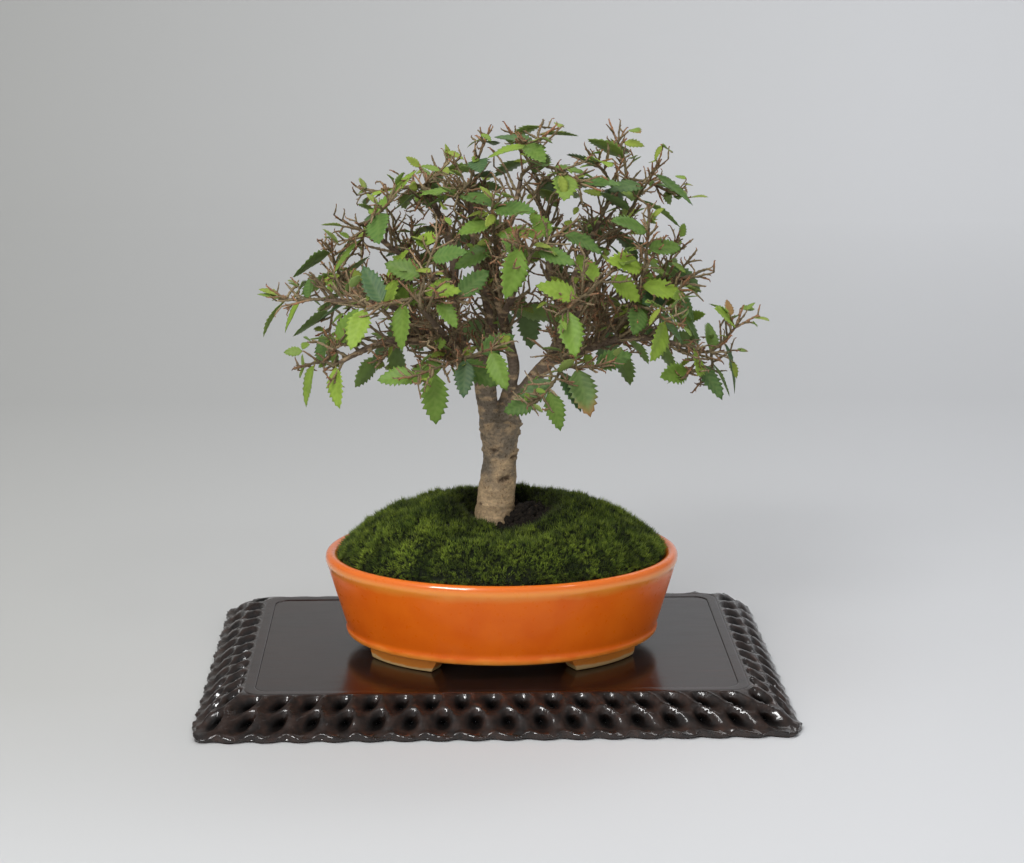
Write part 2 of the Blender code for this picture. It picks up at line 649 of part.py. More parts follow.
def share_out(tips, seats):
    """Gives each tip to the seat that reaches it best, with at most TIPS_ON_SPRAY on a seat."""
    costs = []
    for t, tip in enumerate(tips):
        for s, (place, heading, _, _) in enumerate(seats):
            reach = tip - place
            costs.append((reach.length - STRAIGHT_CREDIT * reach.dot(heading), t, s))
    given, held = {}, {s: [] for s in range(len(seats))}
    for _, t, s in sorted(costs):
        if t not in given and len(held[s]) < TIPS_ON_SPRAY:
            given[t] = s
            held[s].append(tips[t])
    return held


def halves(tips, heading):
    """Splits tips in two across the direction in which they spread most."""
    centre = sum(tips, Vector()) / len(tips)
    widest = max(((t - centre) for t in tips), key=lambda v: (v - v.dot(heading) * heading).length)
    ordered = sorted(tips, key=lambda t: (t - centre).dot(widest))
    middle = len(ordered) // 2
    return ordered[:middle], ordered[middle:]


def grow(path, heading, tips, twigs):
    """Twigs out to every tip. path is the twig so far: it goes on to one half and the other forks off."""
    here = Vector(path[-1][:3])
    reach = sum(tips, Vector()) / len(tips) - here
    if len(tips) == 1:
        bend = here + reach * BEND_AT + heading * reach.length * BEND_BOW
        bend_radius = (path[-1][3] + TWIG_TIP_RADIUS) / 2
        twigs.append([*path, (*bend, bend_radius), (*(here + reach), TWIG_TIP_RADIUS)])
        return
    fork = here + reach * FORK_AT + heading * reach.length * FORK_BOW
    along = (fork - here).normalized()
    straight, side = halves(tips, reach.normalized())
    grow([*path, (*fork, twig_radius(len(straight)))], along, straight, twigs)
    grow([(*fork, twig_radius(len(side)))], along, side, twigs)


def twig_radius(tips):
    """How thick a twig is that carries so many tips."""
    return TWIG_TIP_RADIUS + TWIG_SWELL * math.sqrt(tips - 0.5)


def place_on_twig(points, back):
    """The place so far back along a twig from its tip, with its direction and span there, or None."""
    for k in range(len(points) - 1, 0, -1):
        end, start = Vector(points[k][:3]), Vector(points[k - 1][:3])
        length = (end - start).length
        if back < length:
            margin = min(LEAF_MARGIN, length / 2)
            back = min(max(back, margin), length - margin)
            return end.lerp(start, back / length), (end - start).normalized(), k - 1
        back -= length
    return None


def leaf_frame(base, along, normal):
    """A matrix that sets a leaf at base, pointing along, with its upper face turned to normal."""
    z = normal.normalized()
    y = (along - along.dot(z) * z).normalized()
    x = y.cross(z)
    turn = Matrix((x, y, z)).transposed().to_4x4()
    return Matrix.Translation(base) @ turn


def blade(shape, frame, length, thickness, root):
    """Adds a leaf's blade, folded up along its midrib, to a mesh. root is its four first corners, in order
    round the stalk: right upper, right lower, left lower and left upper."""
    width = length * LEAF_WIDTH

    def corner(across, along, level):
        rise = LEAF_FOLD * abs(across) * width + level * thickness / 2
        return shape.verts.new(frame @ Vector((across * width, along * length, rise)) * MM)

    tips = {1: corner(0, 1, 1), -1: corner(0, 1, -1)}
    upper_right, lower_right, lower_left, upper_left = root
    for side, first in ((1, {1: upper_right, -1: lower_right}), (-1, {1: upper_left, -1: lower_left})):
        outline = [first] + [{n: corner(side * a, b, n) for n in (1, -1)} for a, b in LEAF_SIDE] + [tips]
        for n in (1, -1):
            start, tooth, notch, second, tip = (place[n] for place in outline)
            shape.faces.new((start, tooth, notch))
            shape.faces.new((start, notch, tip))
            shape.faces.new((notch, second, tip))
        for here, after in zip(outline, outline[1:]):
            shape.faces.new((here[1], after[1], after[-1], here[-1]))
    shape.faces.new((upper_right, tips[1], upper_left))
    shape.faces.new((lower_right, tips[-1], lower_left))


def solid_from(shape, name):
    """The finished bmesh as an object."""
    bmesh.ops.triangulate(shape, faces=shape.faces)
    bmesh.ops.recalc_face_normals(shape, faces=shape.faces)
    data = bpy.data.meshes.new(name)
    shape.to_mesh(data)
    shape.free()
    return new_object(name, data)


def leaf_guard(frame, length):
    """A thick leaf without its root, to test against its neighbours."""
    shape = bmesh.new()
    half = LEAF_CLEARANCE / 2
    root = [shape.verts.new(frame @ Vector((x, LEAF_FREE_FROM, z)) * MM)
            for x, z in ((LEAF_FREE_FROM / 2, half), (LEAF_FREE_FROM / 2, -half),
                         (-LEAF_FREE_FROM / 2, -half), (-LEAF_FREE_FROM / 2, half))]
    shape.faces.new(root)
    blade(shape, frame, length, LEAF_CLEARANCE, root)
    return solid_from(shape, "guard")


def leafy_twig(points, leaves):
    """A square twig with leaves grown out of its sides. leaves holds place, span, frame and length."""
    whole = Vector(points[-1][:3]) - Vector(points[0][:3])
    level = min(Matrix.Identity(3), key=lambda axis: abs(axis.dot(whole)))
    shape = bmesh.new()

    def ring(place, along, radius):
        v = (level - level.dot(along) * along).normalized()
        u = along.cross(v)
        turns = [math.pi / 4 + math.pi / 2 * k for k in range(4)]
        return [shape.verts.new((place + radius * (math.cos(t) * u + math.sin(t) * v)) * MM)
                for t in turns]

    spots = [Vector(p[:3]) for p in points]
    spans = [(b - a).normalized() for a, b in zip(spots, spots[1:])]
    rings = [ring(spots[0], spans[0], points[0][3])]
    gates = {}
    for k, along in enumerate(spans):
        length = (spots[k + 1] - spots[k]).length
        here = [leaf for leaf in leaves if leaf[1] == k]
        for place, _, frame, size in sorted(here, key=lambda leaf: (leaf[0] - spots[k]).length):
            share = (place - spots[k]).length / length
            radius = points[k][3] * (1 - share) + points[k + 1][3] * share
            gates[len(rings)] = (frame, size)
            rings.append(ring(place - along * LEAF_ROOT, along, radius))
            rings.append(ring(place + along * LEAF_ROOT, along, radius))
        bend = (along + spans[min(k + 1, len(spans) - 1)]).normalized()
        rings.append(ring(spots[k + 1], bend, points[k + 1][3]))
    shape.faces.new(rings[0])
    shape.faces.new(rings[-1])
    for i, (low, high) in enumerate(zip(rings, rings[1:])):
        walls = [[low[j], low[(j + 1) % 4], high[(j + 1) % 4], high[j]] for j in range(4)]
        if i in gates:
            frame, size = gates[i]
            out = frame.to_3x3() @ Vector((0, 1, 0))
            gate = max(walls, key=lambda wall: mean(wall).dot(out))
            walls.remove(gate)
            blade(shape, frame, size, LEAF_THICKNESS, leaf_root(gate, frame, out))
        for wall in walls:
            shape.faces.new(wall)
    return solid_from(shape, "twig")


def mean(corners):
    return sum((vert.co for vert in corners), Vector()) / len(corners)


def leaf_root(gate, frame, out):
    """The four corners of a gap in a twig's side, in a leaf's own order and least twisted."""
    a, b, c, _ = (vert.co for vert in gate)
    if (b - a).cross(c - b).dot(out) < 0:
        gate = gate[::-1]
    middle = mean(gate)
    half = LEAF_THICKNESS / 2
    wanted = [frame.to_3x3() @ Vector(p) * MM for p in
              ((LEAF_ROOT, 0, half), (LEAF_ROOT, 0, -half), (-LEAF_ROOT, 0, -half), (-LEAF_ROOT, 0, half))]

    def twist(corners):
        return sum((vert.co - middle - place).length_squared for vert, place in zip(corners, wanted))

    return min((gate[k:] + gate[:k] for k in range(4)), key=twist)


def surface(thing):
    corners = [vert.co for vert in thing.data.vertices]
    return BVHTree.FromPolygons(corners, [tuple(face.vertices) for face in thing.data.polygons])


def inside_limits(thing):
    """True if the piece keeps within the stand's plan."""
    across = max(abs(v.co.x) for v in thing.data.vertices) / MM
    deep = max(abs(v.co.y) for v in thing.data.vertices) / MM
    return across < CROWN_LENGTH_LIMIT and deep < CROWN_DEPTH_LIMIT


def try_leaf(place, heading, side, rng, taken):
    """A frame and length for a leaf on a twig, turned until it is clear of all that is there, or None."""
    out = Vector(p / r ** 2 for p, r in zip(place - Vector(CROWN_CENTRE), CROWN_REACH))
    out.z = max(0.0, out.z)
    out.normalize()
    length = rng.uniform(*LEAF_LENGTH)
    tilt = Vector([rng.uniform(-LEAF_TILT, LEAF_TILT) for _ in range(3)])
    across = heading.cross(out + Vector((0, 0, 1))).normalized()
    for turn in LEAF_TURNS:
        lean = math.radians(LEAF_LEAN + turn) * side
        along = heading * math.cos(lean) + across * math.sin(lean) - Vector((0, 0, LEAF_DROOP))
        frame = leaf_frame(place, along, out + Vector((0, 0, LEAF_RISE)) + tilt)
        guard = leaf_guard(frame, length)
        blocked = any(surface(guard).overlap(other) for other in taken) or not inside_limits(guard)
        bpy.data.objects.remove(guard, do_unlink=True)
        if not blocked:
            return frame, length
    return None


def route_twigs(seat, tips, taken, rng):
    """Twigs from a seat on a limb to the tips, shaken until they are clear of what is already there."""
    place, limb_heading, limb_radius, at_end = seat
    thick = twig_radius(len(tips))
    best = []
    for shake in range(SPRAY_TRIES):
        moved = [tip + Vector([rng.uniform(-SHAKE, SHAKE) * shake for _ in range(3)]) for tip in tips]
        heading = (sum(moved, Vector()) / len(moved) - place).normalized()
        if at_end:
            start, away = place + limb_heading * GAP, limb_heading
        else:
            away = (heading - heading.dot(limb_heading) * limb_heading).normalized()
            start = place + away * (limb_radius + SPRAY_GAP)
        twigs = []
        grow([(*start, thick), (*(start + away * TWIG_HEEL), thick)], heading, moved, twigs)
        clear = [points for points in twigs if not twig_blocked(points, taken)]
        if twigs[0] in clear and len(clear) > len(best):
            best = clear
        if len(best) == len(twigs):
            break
    return best


def twig_blocked(points, taken):
    guard = tube(points, 0, swell=TWIG_CLEARANCE)
    blocked = any(surface(guard).overlap(other) for other in taken) or not inside_limits(guard)
    bpy.data.objects.remove(guard, do_unlink=True)
    return blocked


def set_leaves(points, rng, taken):
    """Leaves on alternate sides along one twig, as place, span, frame and length."""
    leaves = []
    side = rng.choice((-1, 1))
    for back in LEAF_PLACES:
        side = -side
        spot = place_on_twig(points, back)
        found = spot and try_leaf(spot[0], spot[1], side, rng, taken)
        if found:
            leaves.append((spot[0], spot[2], *found))
            guard = leaf_guard(*found)
            taken.append(surface(guard))
            bpy.data.objects.remove(guard, do_unlink=True)
    return leaves


def crown(trunk):
    """All sprays: first the twigs of every one, then their leaves."""
    taken = [surface(trunk)]
    seats = spray_seats()
    held = share_out(crown_tips(), seats)
    sprays = []
    for s, seat in enumerate(seats):
        twigs = route_twigs(seat, held[s], taken, random.Random(SEED * 1000 + s)) if held[s] else []
        if twigs:
            sprays.append(twigs)
        for points in twigs:
            bare = leafy_twig(points, [])
            taken.append(surface(bare))
            bpy.data.objects.remove(bare, do_unlink=True)
    count = 0
    for s, twigs in enumerate(sprays):
        rng = random.Random(SEED * 2000 + s)
        dressed = [(points, set_leaves(points, rng, taken)) for points in twigs]
        count += sum(len(leaves) for _, leaves in dressed)
        united(f"spray_{s + 1:02d}", [leafy_twig(points, leaves) for points, leaves in dressed], "leaf")
    print(f"{len(sprays)} sprays, {sum(len(twigs) for twigs in sprays)} twigs, {count} leaves")


def main():
    stand_frame()
    stand_panel()
    pot()
    drain_screens()
    soil()
    moss()
    crown(tree())


main()
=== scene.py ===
"""Looks of the zelkova bonsai: leaves, twigs, bark, moss, soil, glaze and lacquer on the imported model.

Sizes are in millimetres, and MM turns them into metres. +X runs to the right along the stand's long
side, -Y is the front and +Z is up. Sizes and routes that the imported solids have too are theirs.
"""

import random
from math import atan2, copysign, cos, exp, hypot, pi, radians, sin, sqrt, tau

import bmesh
import bpy
import numpy as np
from mathutils import Matrix, Vector, noise
from mathutils.bvhtree import BVHTree


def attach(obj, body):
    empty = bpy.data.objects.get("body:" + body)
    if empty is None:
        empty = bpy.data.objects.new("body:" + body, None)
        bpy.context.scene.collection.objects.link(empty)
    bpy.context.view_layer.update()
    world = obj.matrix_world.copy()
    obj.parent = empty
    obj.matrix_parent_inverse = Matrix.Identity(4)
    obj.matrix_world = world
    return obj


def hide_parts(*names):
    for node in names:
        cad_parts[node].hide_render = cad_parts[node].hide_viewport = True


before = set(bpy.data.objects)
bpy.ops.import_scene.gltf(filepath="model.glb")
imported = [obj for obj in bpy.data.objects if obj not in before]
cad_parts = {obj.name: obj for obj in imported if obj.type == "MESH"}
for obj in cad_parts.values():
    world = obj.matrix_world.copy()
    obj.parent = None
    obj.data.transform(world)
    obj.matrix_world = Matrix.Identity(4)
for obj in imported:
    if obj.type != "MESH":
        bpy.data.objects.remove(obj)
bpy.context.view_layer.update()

MM = 0.001
SEED = 7
UP = Vector((0, 0, 1))
BLACK = (0, 0, 0)
WHITE = (1, 1, 1)

# Camera
LENS = 76.24
EYE = (-21.32, -978.98, 353.92)
PITCH = 13.606  # degrees down
YAW = 1.734  # degrees to the right of +Y

# Stand
STAND_LENGTH = 266
STAND_DEPTH = 180
STAND_CORNER = 9
CORNER_STEPS = 12
BORDER_RUN = 20
BORDER_RISE = 14.5
BORDER_WALL = 4
BORDER_CELLS = 58
CELL_COLUMNS = 13
BORDER_ROWS = 36
BORDER_CURVE = 1.5  # power of the border's outline: 1 is a straight slope, 2 a quarter ellipse
HOLE_ROWS = ((68, 0.0, 1.3), (37, 0.5, 1.1))  # degrees up the border, shift in cells, height to width
HOLE_RADIUS = 3.2
INNER_HOLE_RADIUS = 0.5
CARVING_REACH = 1.5  # from a hole's edge up to the smooth wood
CARVING_DEPTH = 1.7
CREST_HEIGHT = 0.5
RIB_HEIGHT = 0.12
CURL_HEIGHT = 1.0
CURL_TURN = 0.9  # radians round each hole, where its lip curls up
WAVE_HEIGHT = 1.3
SCALLOP = 0.7
EDGE_BULGE = 1.3
RIGHT_SIDE = (0.3, 0.51)  # shares of the way round
BACK_SIDE = (0.51, 0.8)
LEFT_SIDE = (0.79, 0.99)
STRIP_OUTER = 19.6
STRIP_INNER = 24.5
STRIP_TOP = 14.6
LEDGE_INNER = 28
LEDGE_TOP = 10.2
LEDGE_BOTTOM = 7.5
PANEL_EDGE = 24.55
PANEL_MIDDLE = 60
PANEL_BOTTOM = 10.5
PANEL_TOP = 14.2

# Pot
POT_CENTRE = (3.5, -2.4)
POT_OVAL = 0.743
POT_STEPS = 144
POT_FLOOR = 27.5
RIM_TOP = 61.6
BODY_BOTTOM = 21.5
POT_PROFILE = ((0, POT_FLOOR), (62, POT_FLOOR), (69, 35), (74, 50), (76.6, 59.6), (79.4, RIM_TOP),
               (82.2, 60.8), (82.9, 57.6), (81.4, 54.4), (80.4, 50.5), (78.2, 43), (75.8, 35), (74.2, 29.5),
               (73.3, 26.9), (73.3, 25.5), (73.6, 24.2), (72.9, 22.3), (70.4, BODY_BOTTOM),
               (63, BODY_BOTTOM + 1), (0, BODY_BOTTOM + 1))
FOOT_BOTTOM = 14.5
FOOT_TOP = BODY_BOTTOM + 1.5
FOOT_RING = 67
FOOT_INSET = 3
FOOT_WIDTH = 9
FOOT_ARC = (21, 64)
FOOT_END_SLOPE = 4.0
FOOT_SECTIONS = 22
DRAIN_RADIUS = 6
DRAIN_SPACING = 32
DRAIN_STEPS = 32

# Moss and soil
FILL_HALF_LENGTH = 75.7
DOME_HEIGHT = 27
DOME_SHAPE = (2.4, 0.75)
SADDLE_DEPTH = 0.42
SADDLE = ((3, -25), (30, 22))  # centre and size
LUMP_HEIGHT = 0.9
HEAP_HEIGHT = 5
HEAP = ((17, 5), (10, 9))
CRATER_CENTRE = (7, -1)
CRATER_SIZE = (27, 20)
CRATER_FLOOR = 72.5
CRATER_SLOPE = (0.5, 1.05)
MOSS_EDGE = 0.69
MOSS_THICKNESS = 4
MOSS_EDGE_THICKNESS = 1.2
MOSS_EDGE_DROP = 1.5
MOSS_SINK = 0.7  # of the cushion under the shoots
MOSS_SHOOTS = 15000
MOSS_PIECES = 3
MOSS_STEPS = 168
MOSS_RINGS = 26
SHOOT_NEEDLES = 4
SHOOT_LENGTH = (1.7, 3.8)
NEEDLE_RADIUS = 0.21
CLUMP_HEIGHT = 2.0
SOIL_CRUMBS = 520
PILE_CENTRE = (13, -4)  # soil heaped against the trunk
PILE_SIZE = (9.5, 8.5)
PILE_HEIGHT = 7.5
PILE_STEPS = 40
PILE_RINGS = 12
PILE_SINK = 1.4

# Trunk and limbs: x, y, z and radius of points along each
TRUNK = ((0.3, 0, 48, 11.5), (0.3, 0, 62, 10.6), (0.3, 0, 73, 9.6), (0.8, 0, 84, 9.0), (1.8, 0, 94, 8.4),
         (2.6, 0, 104, 7.9), (2.8, 0, 112, 8.3), (3.0, 0, 119, 9.2), (3.0, 0, 123, 8.0))
LIMBS = {
    "left_stem": ((-0.5, 0, 114, 6.2), (-2.4, 0, 126, 4.9), (-3.9, 0, 137, 5.1), (-5, 0, 147, 4.6)),
    "left": ((-5, 0, 144, 3.8), (-12, -4, 149, 3.2), (-21, -8, 155, 2.9), (-31, -12, 163, 2.6),
             (-38, -16, 174, 2.2), (-48, -20, 181, 1.9), (-62, -24, 182.5, 1.6), (-76, -26, 184, 1.2)),
    "low_left": ((-31, -12, 163, 2.2), (-44, -21, 164, 1.8), (-57, -26, 162, 1.5), (-70, -30, 156, 1.1)),
    "back_left": ((-21, -8, 155, 2.5), (-33, 8, 165, 2.2), (-49, 24, 175, 1.8), (-64, 34, 183, 1.2)),
    "centre_left": ((-5, 0, 145, 4.0), (-4, 2, 151, 3.7), (-1.5, 4, 158, 3.2), (-1, 6, 166, 3.0),
                    (-3, 9, 178, 2.6), (-7, 9, 192, 2.2), (-9, 6, 207, 1.8), (-11, 2, 226, 1.2)),
    "rising_left": ((-6, 0, 146, 3.8), (-12, 1, 151, 3.4), (-17, 4, 163, 3.1), (-19, 8, 180, 2.7),
                    (-18, 10, 196, 2.2), (-22, 12, 211, 1.7), (-30, 12, 226, 1.2)),
    "fan_left": ((-19, 8, 180, 2.2), (-32, 5, 192, 1.9), (-45, 1, 202, 1.5), (-58, -4, 213, 1.1)),
    "front_left": ((-12, -4, 149, 2.5), (-18, -20, 160, 2.1), (-25, -36, 172, 1.7), (-32, -50, 184, 1.1)),
    "centre": ((5, 3, 116, 4.6), (3.6, 4, 126, 3.2), (6.6, 4, 135, 3.0), (9.2, 0, 147, 2.8),
               (6.6, -1, 160, 2.6), (4, -5, 172, 2.4), (0.5, -8, 189, 2.1), (1.5, -8, 204, 1.9),
               (8, -6, 217, 1.6), (12, -4, 234, 1.1)),
    "front": ((4, -5, 172, 2.0), (7, -20, 182, 1.7), (9, -36, 192, 1.4), (12, -50, 202, 1.0)),
    "back": ((-1, 6, 166, 2.4), (0, 22, 175, 2.0), (-4, 38, 186, 1.6), (-9, 52, 198, 1.1)),
    "right_stem": ((6, 0, 115, 5.6), (8.3, 0, 129, 4.2), (13.9, -1, 136, 3.8), (20.2, -3, 145, 3.5),
                   (27, -5, 153, 3.1)),
    "rising_right": ((26, -5, 152, 3.0), (30, 0, 160, 2.8), (33, 4, 169, 2.6), (36, 8, 182, 2.3),
                     (42, 10, 198, 1.9), (49, 10, 214, 1.3)),
    "back_right": ((30, 0, 160, 2.4), (43, 13, 167, 2.1), (58, 24, 175, 1.7), (74, 33, 181, 1.2)),
    "high_back": ((33, 4, 169, 2.2), (27, 16, 185, 1.9), (26, 24, 202, 1.6), (22, 28, 220, 1.1)),
    "right": ((26, -5, 152, 2.8), (34.5, -10, 154, 2.4), (43, -14, 159, 2.2), (56, -18, 164, 1.9),
              (68, -21, 165, 1.6), (84, -24, 162, 1.2)),
    "fan_right": ((43, -14, 159, 2.1), (57, -12, 174, 1.8), (73, -10, 184, 1.5), (89, -8, 191, 1.1)),
    "front_right": ((26, -5, 152, 2.5), (30, -22, 164, 2.1), (34, -37, 176, 1.7), (38, -50, 188, 1.1)),
}
FIRST_SPRAY_POINT = dict(left=4, centre_left=4, rising_left=3, centre=6, rising_right=3, right=3)
STEMS = ("left_stem", "right_stem")
BARK_VOXEL = 0.68
# Knobs (raised) and scars (sunk) of the trunk as seen from the front: x, z, half width and height
KNOTS = ((12.0, 121.0, 2.2, 1.5), (12.2, 116.8, 1.7, 1.2), (10.9, 108.1, 1.3, 1.0), (-5.6, 108.8, 1.6, 0.9),
         (0.0, 109.7, 2.2, -1.1), (8.6, 105.9, 1.7, -0.9), (4.8, 95.9, 2.6, -0.8), (-6.4, 83.6, 1.1, -0.7),
         (-2.5, 119.0, 4.5, 0.7), (6.0, 118.0, 3.5, 0.6), (1.0, 113.0, 5.0, 0.5), (-4.2, 140.5, 3.0, 0.8),
         (-7.0, 126.0, 1.8, 0.4), (3.5, 98.6, 2.6, 0.4), (1.8, 111.8, 2.4, 0.5), (10.5, 124.0, 1.4, 0.7))
KNOT_FLATNESS = 1.7  # how much wider than high a knob or scar is
FORK_SPAN = (108, 134)  # height of the part where the stems leave the trunk
FORK_SMOOTHING = 30  # rounds of smoothing there

# Crown
CROWN_CENTRE = (9, 0, 140)
CROWN_REACH = (112, 75, 129)
CROWN_LOW = 0.02
CROWN_TIPS = 60
CROWN_SHELL = (0.72, 1.0)
CROWN_LIMITS = (134, 91, 261.5)  # of the shoots and their leaves
TIPS_ON_SPRAY = 3
STRAIGHT_CREDIT = 0.45
GAP = 0.3
SPRAY_GAP = 0.4
TWIG_TIP_RADIUS = 0.55
TWIG_SWELL = 0.2
FORK_AT = 0.42
FORK_BOW = 0.06
BEND_AT = 0.5
BEND_BOW = 0.08
TWIG_HEEL = 2.5
SPRAY_TRIES = 12
SHAKE = 2.0
LEAF_LENGTH = (19, 26)
LEAF_WIDTH = 0.56
LEAF_FOLD = 0.2
LEAF_PLACES = (1.2, 9.5, 18, 26.5)
LEAF_MARGIN = 1.125
LEAF_LEAN = 55
LEAF_TURNS = (0, 20, -15, 40, 60, 85)
LEAF_RISE = 0.35
LEAF_DROOP = 0.5
LEAF_TILT = 0.4
LEAF_TEETH = 7
LEAF_THICKNESS = 0.22
ON_NODE = 0.3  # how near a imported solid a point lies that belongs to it
SHOOT_EVERY = 3.5  # along a twig or limb
SHOOT_REACH = (6, 15)
LIMB_SHOOT_REACH = (9, 22)
LIMB_SHOOTS_FROM = 150  # height
SHOOT_RADIUS = 0.58
OLD_SHOOT_RADIUS = 1.25 * SHOOT_RADIUS
SHOOT_NODES = 2.7  # between a shoot's nodes
ZIGZAG = 0.17
BUD_SHARE = 0.85  # of a shoot's nodes that have a bud
FORK_SHARE = 0.38
LEAFY_SHARE = 0.24  # of the shoots that have young leaves
YOUNG_LEAF_LENGTH = (4.5, 11)
TWIG_NODES = 1.9
BUD_LENGTH = 1.3


def srgb(red, green, blue):
    """A colour given by its display values from 0 to 255, as the linear values that shaders take."""
    return tuple((v / 255 / 12.92) if v <= 10.3 else ((v / 255 + 0.055) / 1.055) ** 2.4
                 for v in (red, green, blue))


LEAF_TONES = ((srgb(140, 168, 60), 0.27), (srgb(110, 142, 55), 0.29), (srgb(84, 116, 55), 0.26),
              (srgb(68, 98, 63), 0.18))
YOUNG_TONES = (srgb(138, 154, 62), srgb(118, 144, 58), srgb(156, 118, 74))
TWIG_TONE = srgb(116, 105, 79)
OLD_TWIG_TONE = srgb(178, 163, 129)
RED_TONE = srgb(166, 120, 88)
LIMB_TONE = srgb(130, 117, 95)
BUD_TONE = srgb(102, 74, 56)
BARK_TAN = srgb(194, 169, 136)
BARK_GREY = srgb(130, 120, 107)
BARK_BROWN = srgb(112, 97, 83)
BARK_DARK = srgb(66, 48, 38)


def blend(a, b, share):
    return tuple(p * (1 - share) + q * share for p, q in zip(a, b))


def scaled(colour, factor):
    return tuple(value * factor for value in colour)


def smooth(low, high, value):
    """A soft step from 0 at low to 1 at high."""
    t = min(1.0, max(0.0, (value - low) / (high - low)))
    return t * t * (3 - 2 * t)


def rough(x, y, z, scale=1.0):
    """Smooth noise, from about -1 to 1."""
    return noise.noise(Vector((x, y, z)) * scale)


def scatter(rng, amount, scale=1):
    """A random offset along each axis."""
    return Vector([rng.uniform(-amount, amount) * scale for _ in range(3)])


def oval(centre, half_x, half_y, angle):
    """The plan point at an angle of an oval."""
    return centre[0] + half_x * cos(angle), centre[1] + half_y * sin(angle)


def out_of(x, y, centre, size):
    """How far out from an oval's centre a place is: 1 is the oval."""
    return hypot((x - centre[0]) / size[0], (y - centre[1]) / size[1])


def hump(x, y, centre, size):
    """1 at the centre, falling off smoothly to 0 past its size."""
    return exp(-(((x - centre[0]) / size[0]) ** 2) - ((y - centre[1]) / size[1]) ** 2)


def grid(rows, columns, closed=True, looped=False, flipped=False, start=0):
    """Faces between rows of points. closed joins each row's ends, and looped the last row to the first."""
    faces = []
    for r in range(rows if looped else rows - 1):
        low, high = start + r * columns, start + (r + 1) % rows * columns
        for k in range(columns if closed else columns - 1):
            after = (k + 1) % columns
            face = (low + k, low + after, high + after, high + k)
            faces.append((face[0], *face[:0:-1]) if flipped else face)
    return faces


def fan(hub, first, count):
    """Faces between one point and a closed row of others."""
    return [(hub, first + k, first + (k + 1) % count) for k in range(count)]


def barrel(rows, columns):
    """Faces between closed rows of points, with a cap at each end."""
    caps = [tuple(reversed(range(columns))), tuple(range((rows - 1) * columns, rows * columns))]
    return grid(rows, columns) + caps


def shell(faces, edge, count):
    """Faces of a sheet, of its copy count points on and of the walls along its open edge."""
    behind = [tuple(count + i for i in reversed(face)) for face in faces]
    return faces + behind + [(b, a, count + a, count + b) for a, b in edge]


def mesh(name, points, faces, unit=MM):
    data = bpy.data.meshes.new(name)
    data.from_pydata([tuple(v * unit for v in p) for p in points], [], faces)
    return data


def placed(name, data):
    """An object in the scene."""
    thing = bpy.data.objects.new(name, data)
    bpy.context.scene.collection.objects.link(thing)
    return thing


class Shape:
    """Corners, faces, colours and material numbers of a mesh that grows part by part, in millimetres."""

    def __init__(self, *part):
        self.points, self.faces, self.tones, self.slots = [], [], [], []
        if part:
            self.add(*part)

    def add(self, points, faces, tones, slot=0):
        """tones is one colour, or a list with a colour for each point."""
        start = len(self.points)
        self.points += points
        self.tones += tones if isinstance(tones, list) else [tones] * len(points)
        self.faces += [tuple(start + i for i in face) for face in faces]
        self.slots += [slot] * len(faces)

    def made(self, name, materials, sharp=None):
        return dressed(name, mesh(name, self.points, self.faces), materials, self.tones, self.slots, sharp)


def dressed(name, data, materials, tones=None, slots=None, sharp=None):
    """An object on the one body for a finished mesh, with its colours, materials and shading."""
    data.materials.clear()
    for entry in materials:
        data.materials.append(entry)
    if tones is not None:
        flat = np.ones((len(data.vertices), 4), np.float32)
        flat[:, :3] = tones
        layer = data.color_attributes.new("Tone", "FLOAT_COLOR", "POINT")
        layer.data.foreach_set("color", flat.ravel())
    if slots is not None:
        data.polygons.foreach_set("material_index", slots)
    data.shade_smooth()
    if sharp is not None:
        data.set_sharp_from_angle(angle=radians(sharp))
    data.update()
    thing = placed(name, data)
    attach(thing, "root")
    return thing


def applied(name, thing, *tools):
    """The object's mesh with its modifiers done. The object and the ones it used are removed."""
    bpy.context.view_layer.update()
    data = bpy.data.meshes.new_from_object(thing.evaluated_get(bpy.context.evaluated_depsgraph_get()))
    data.name = name
    for used in (thing, *tools):
        bpy.data.objects.remove(used, do_unlink=True)
    return data


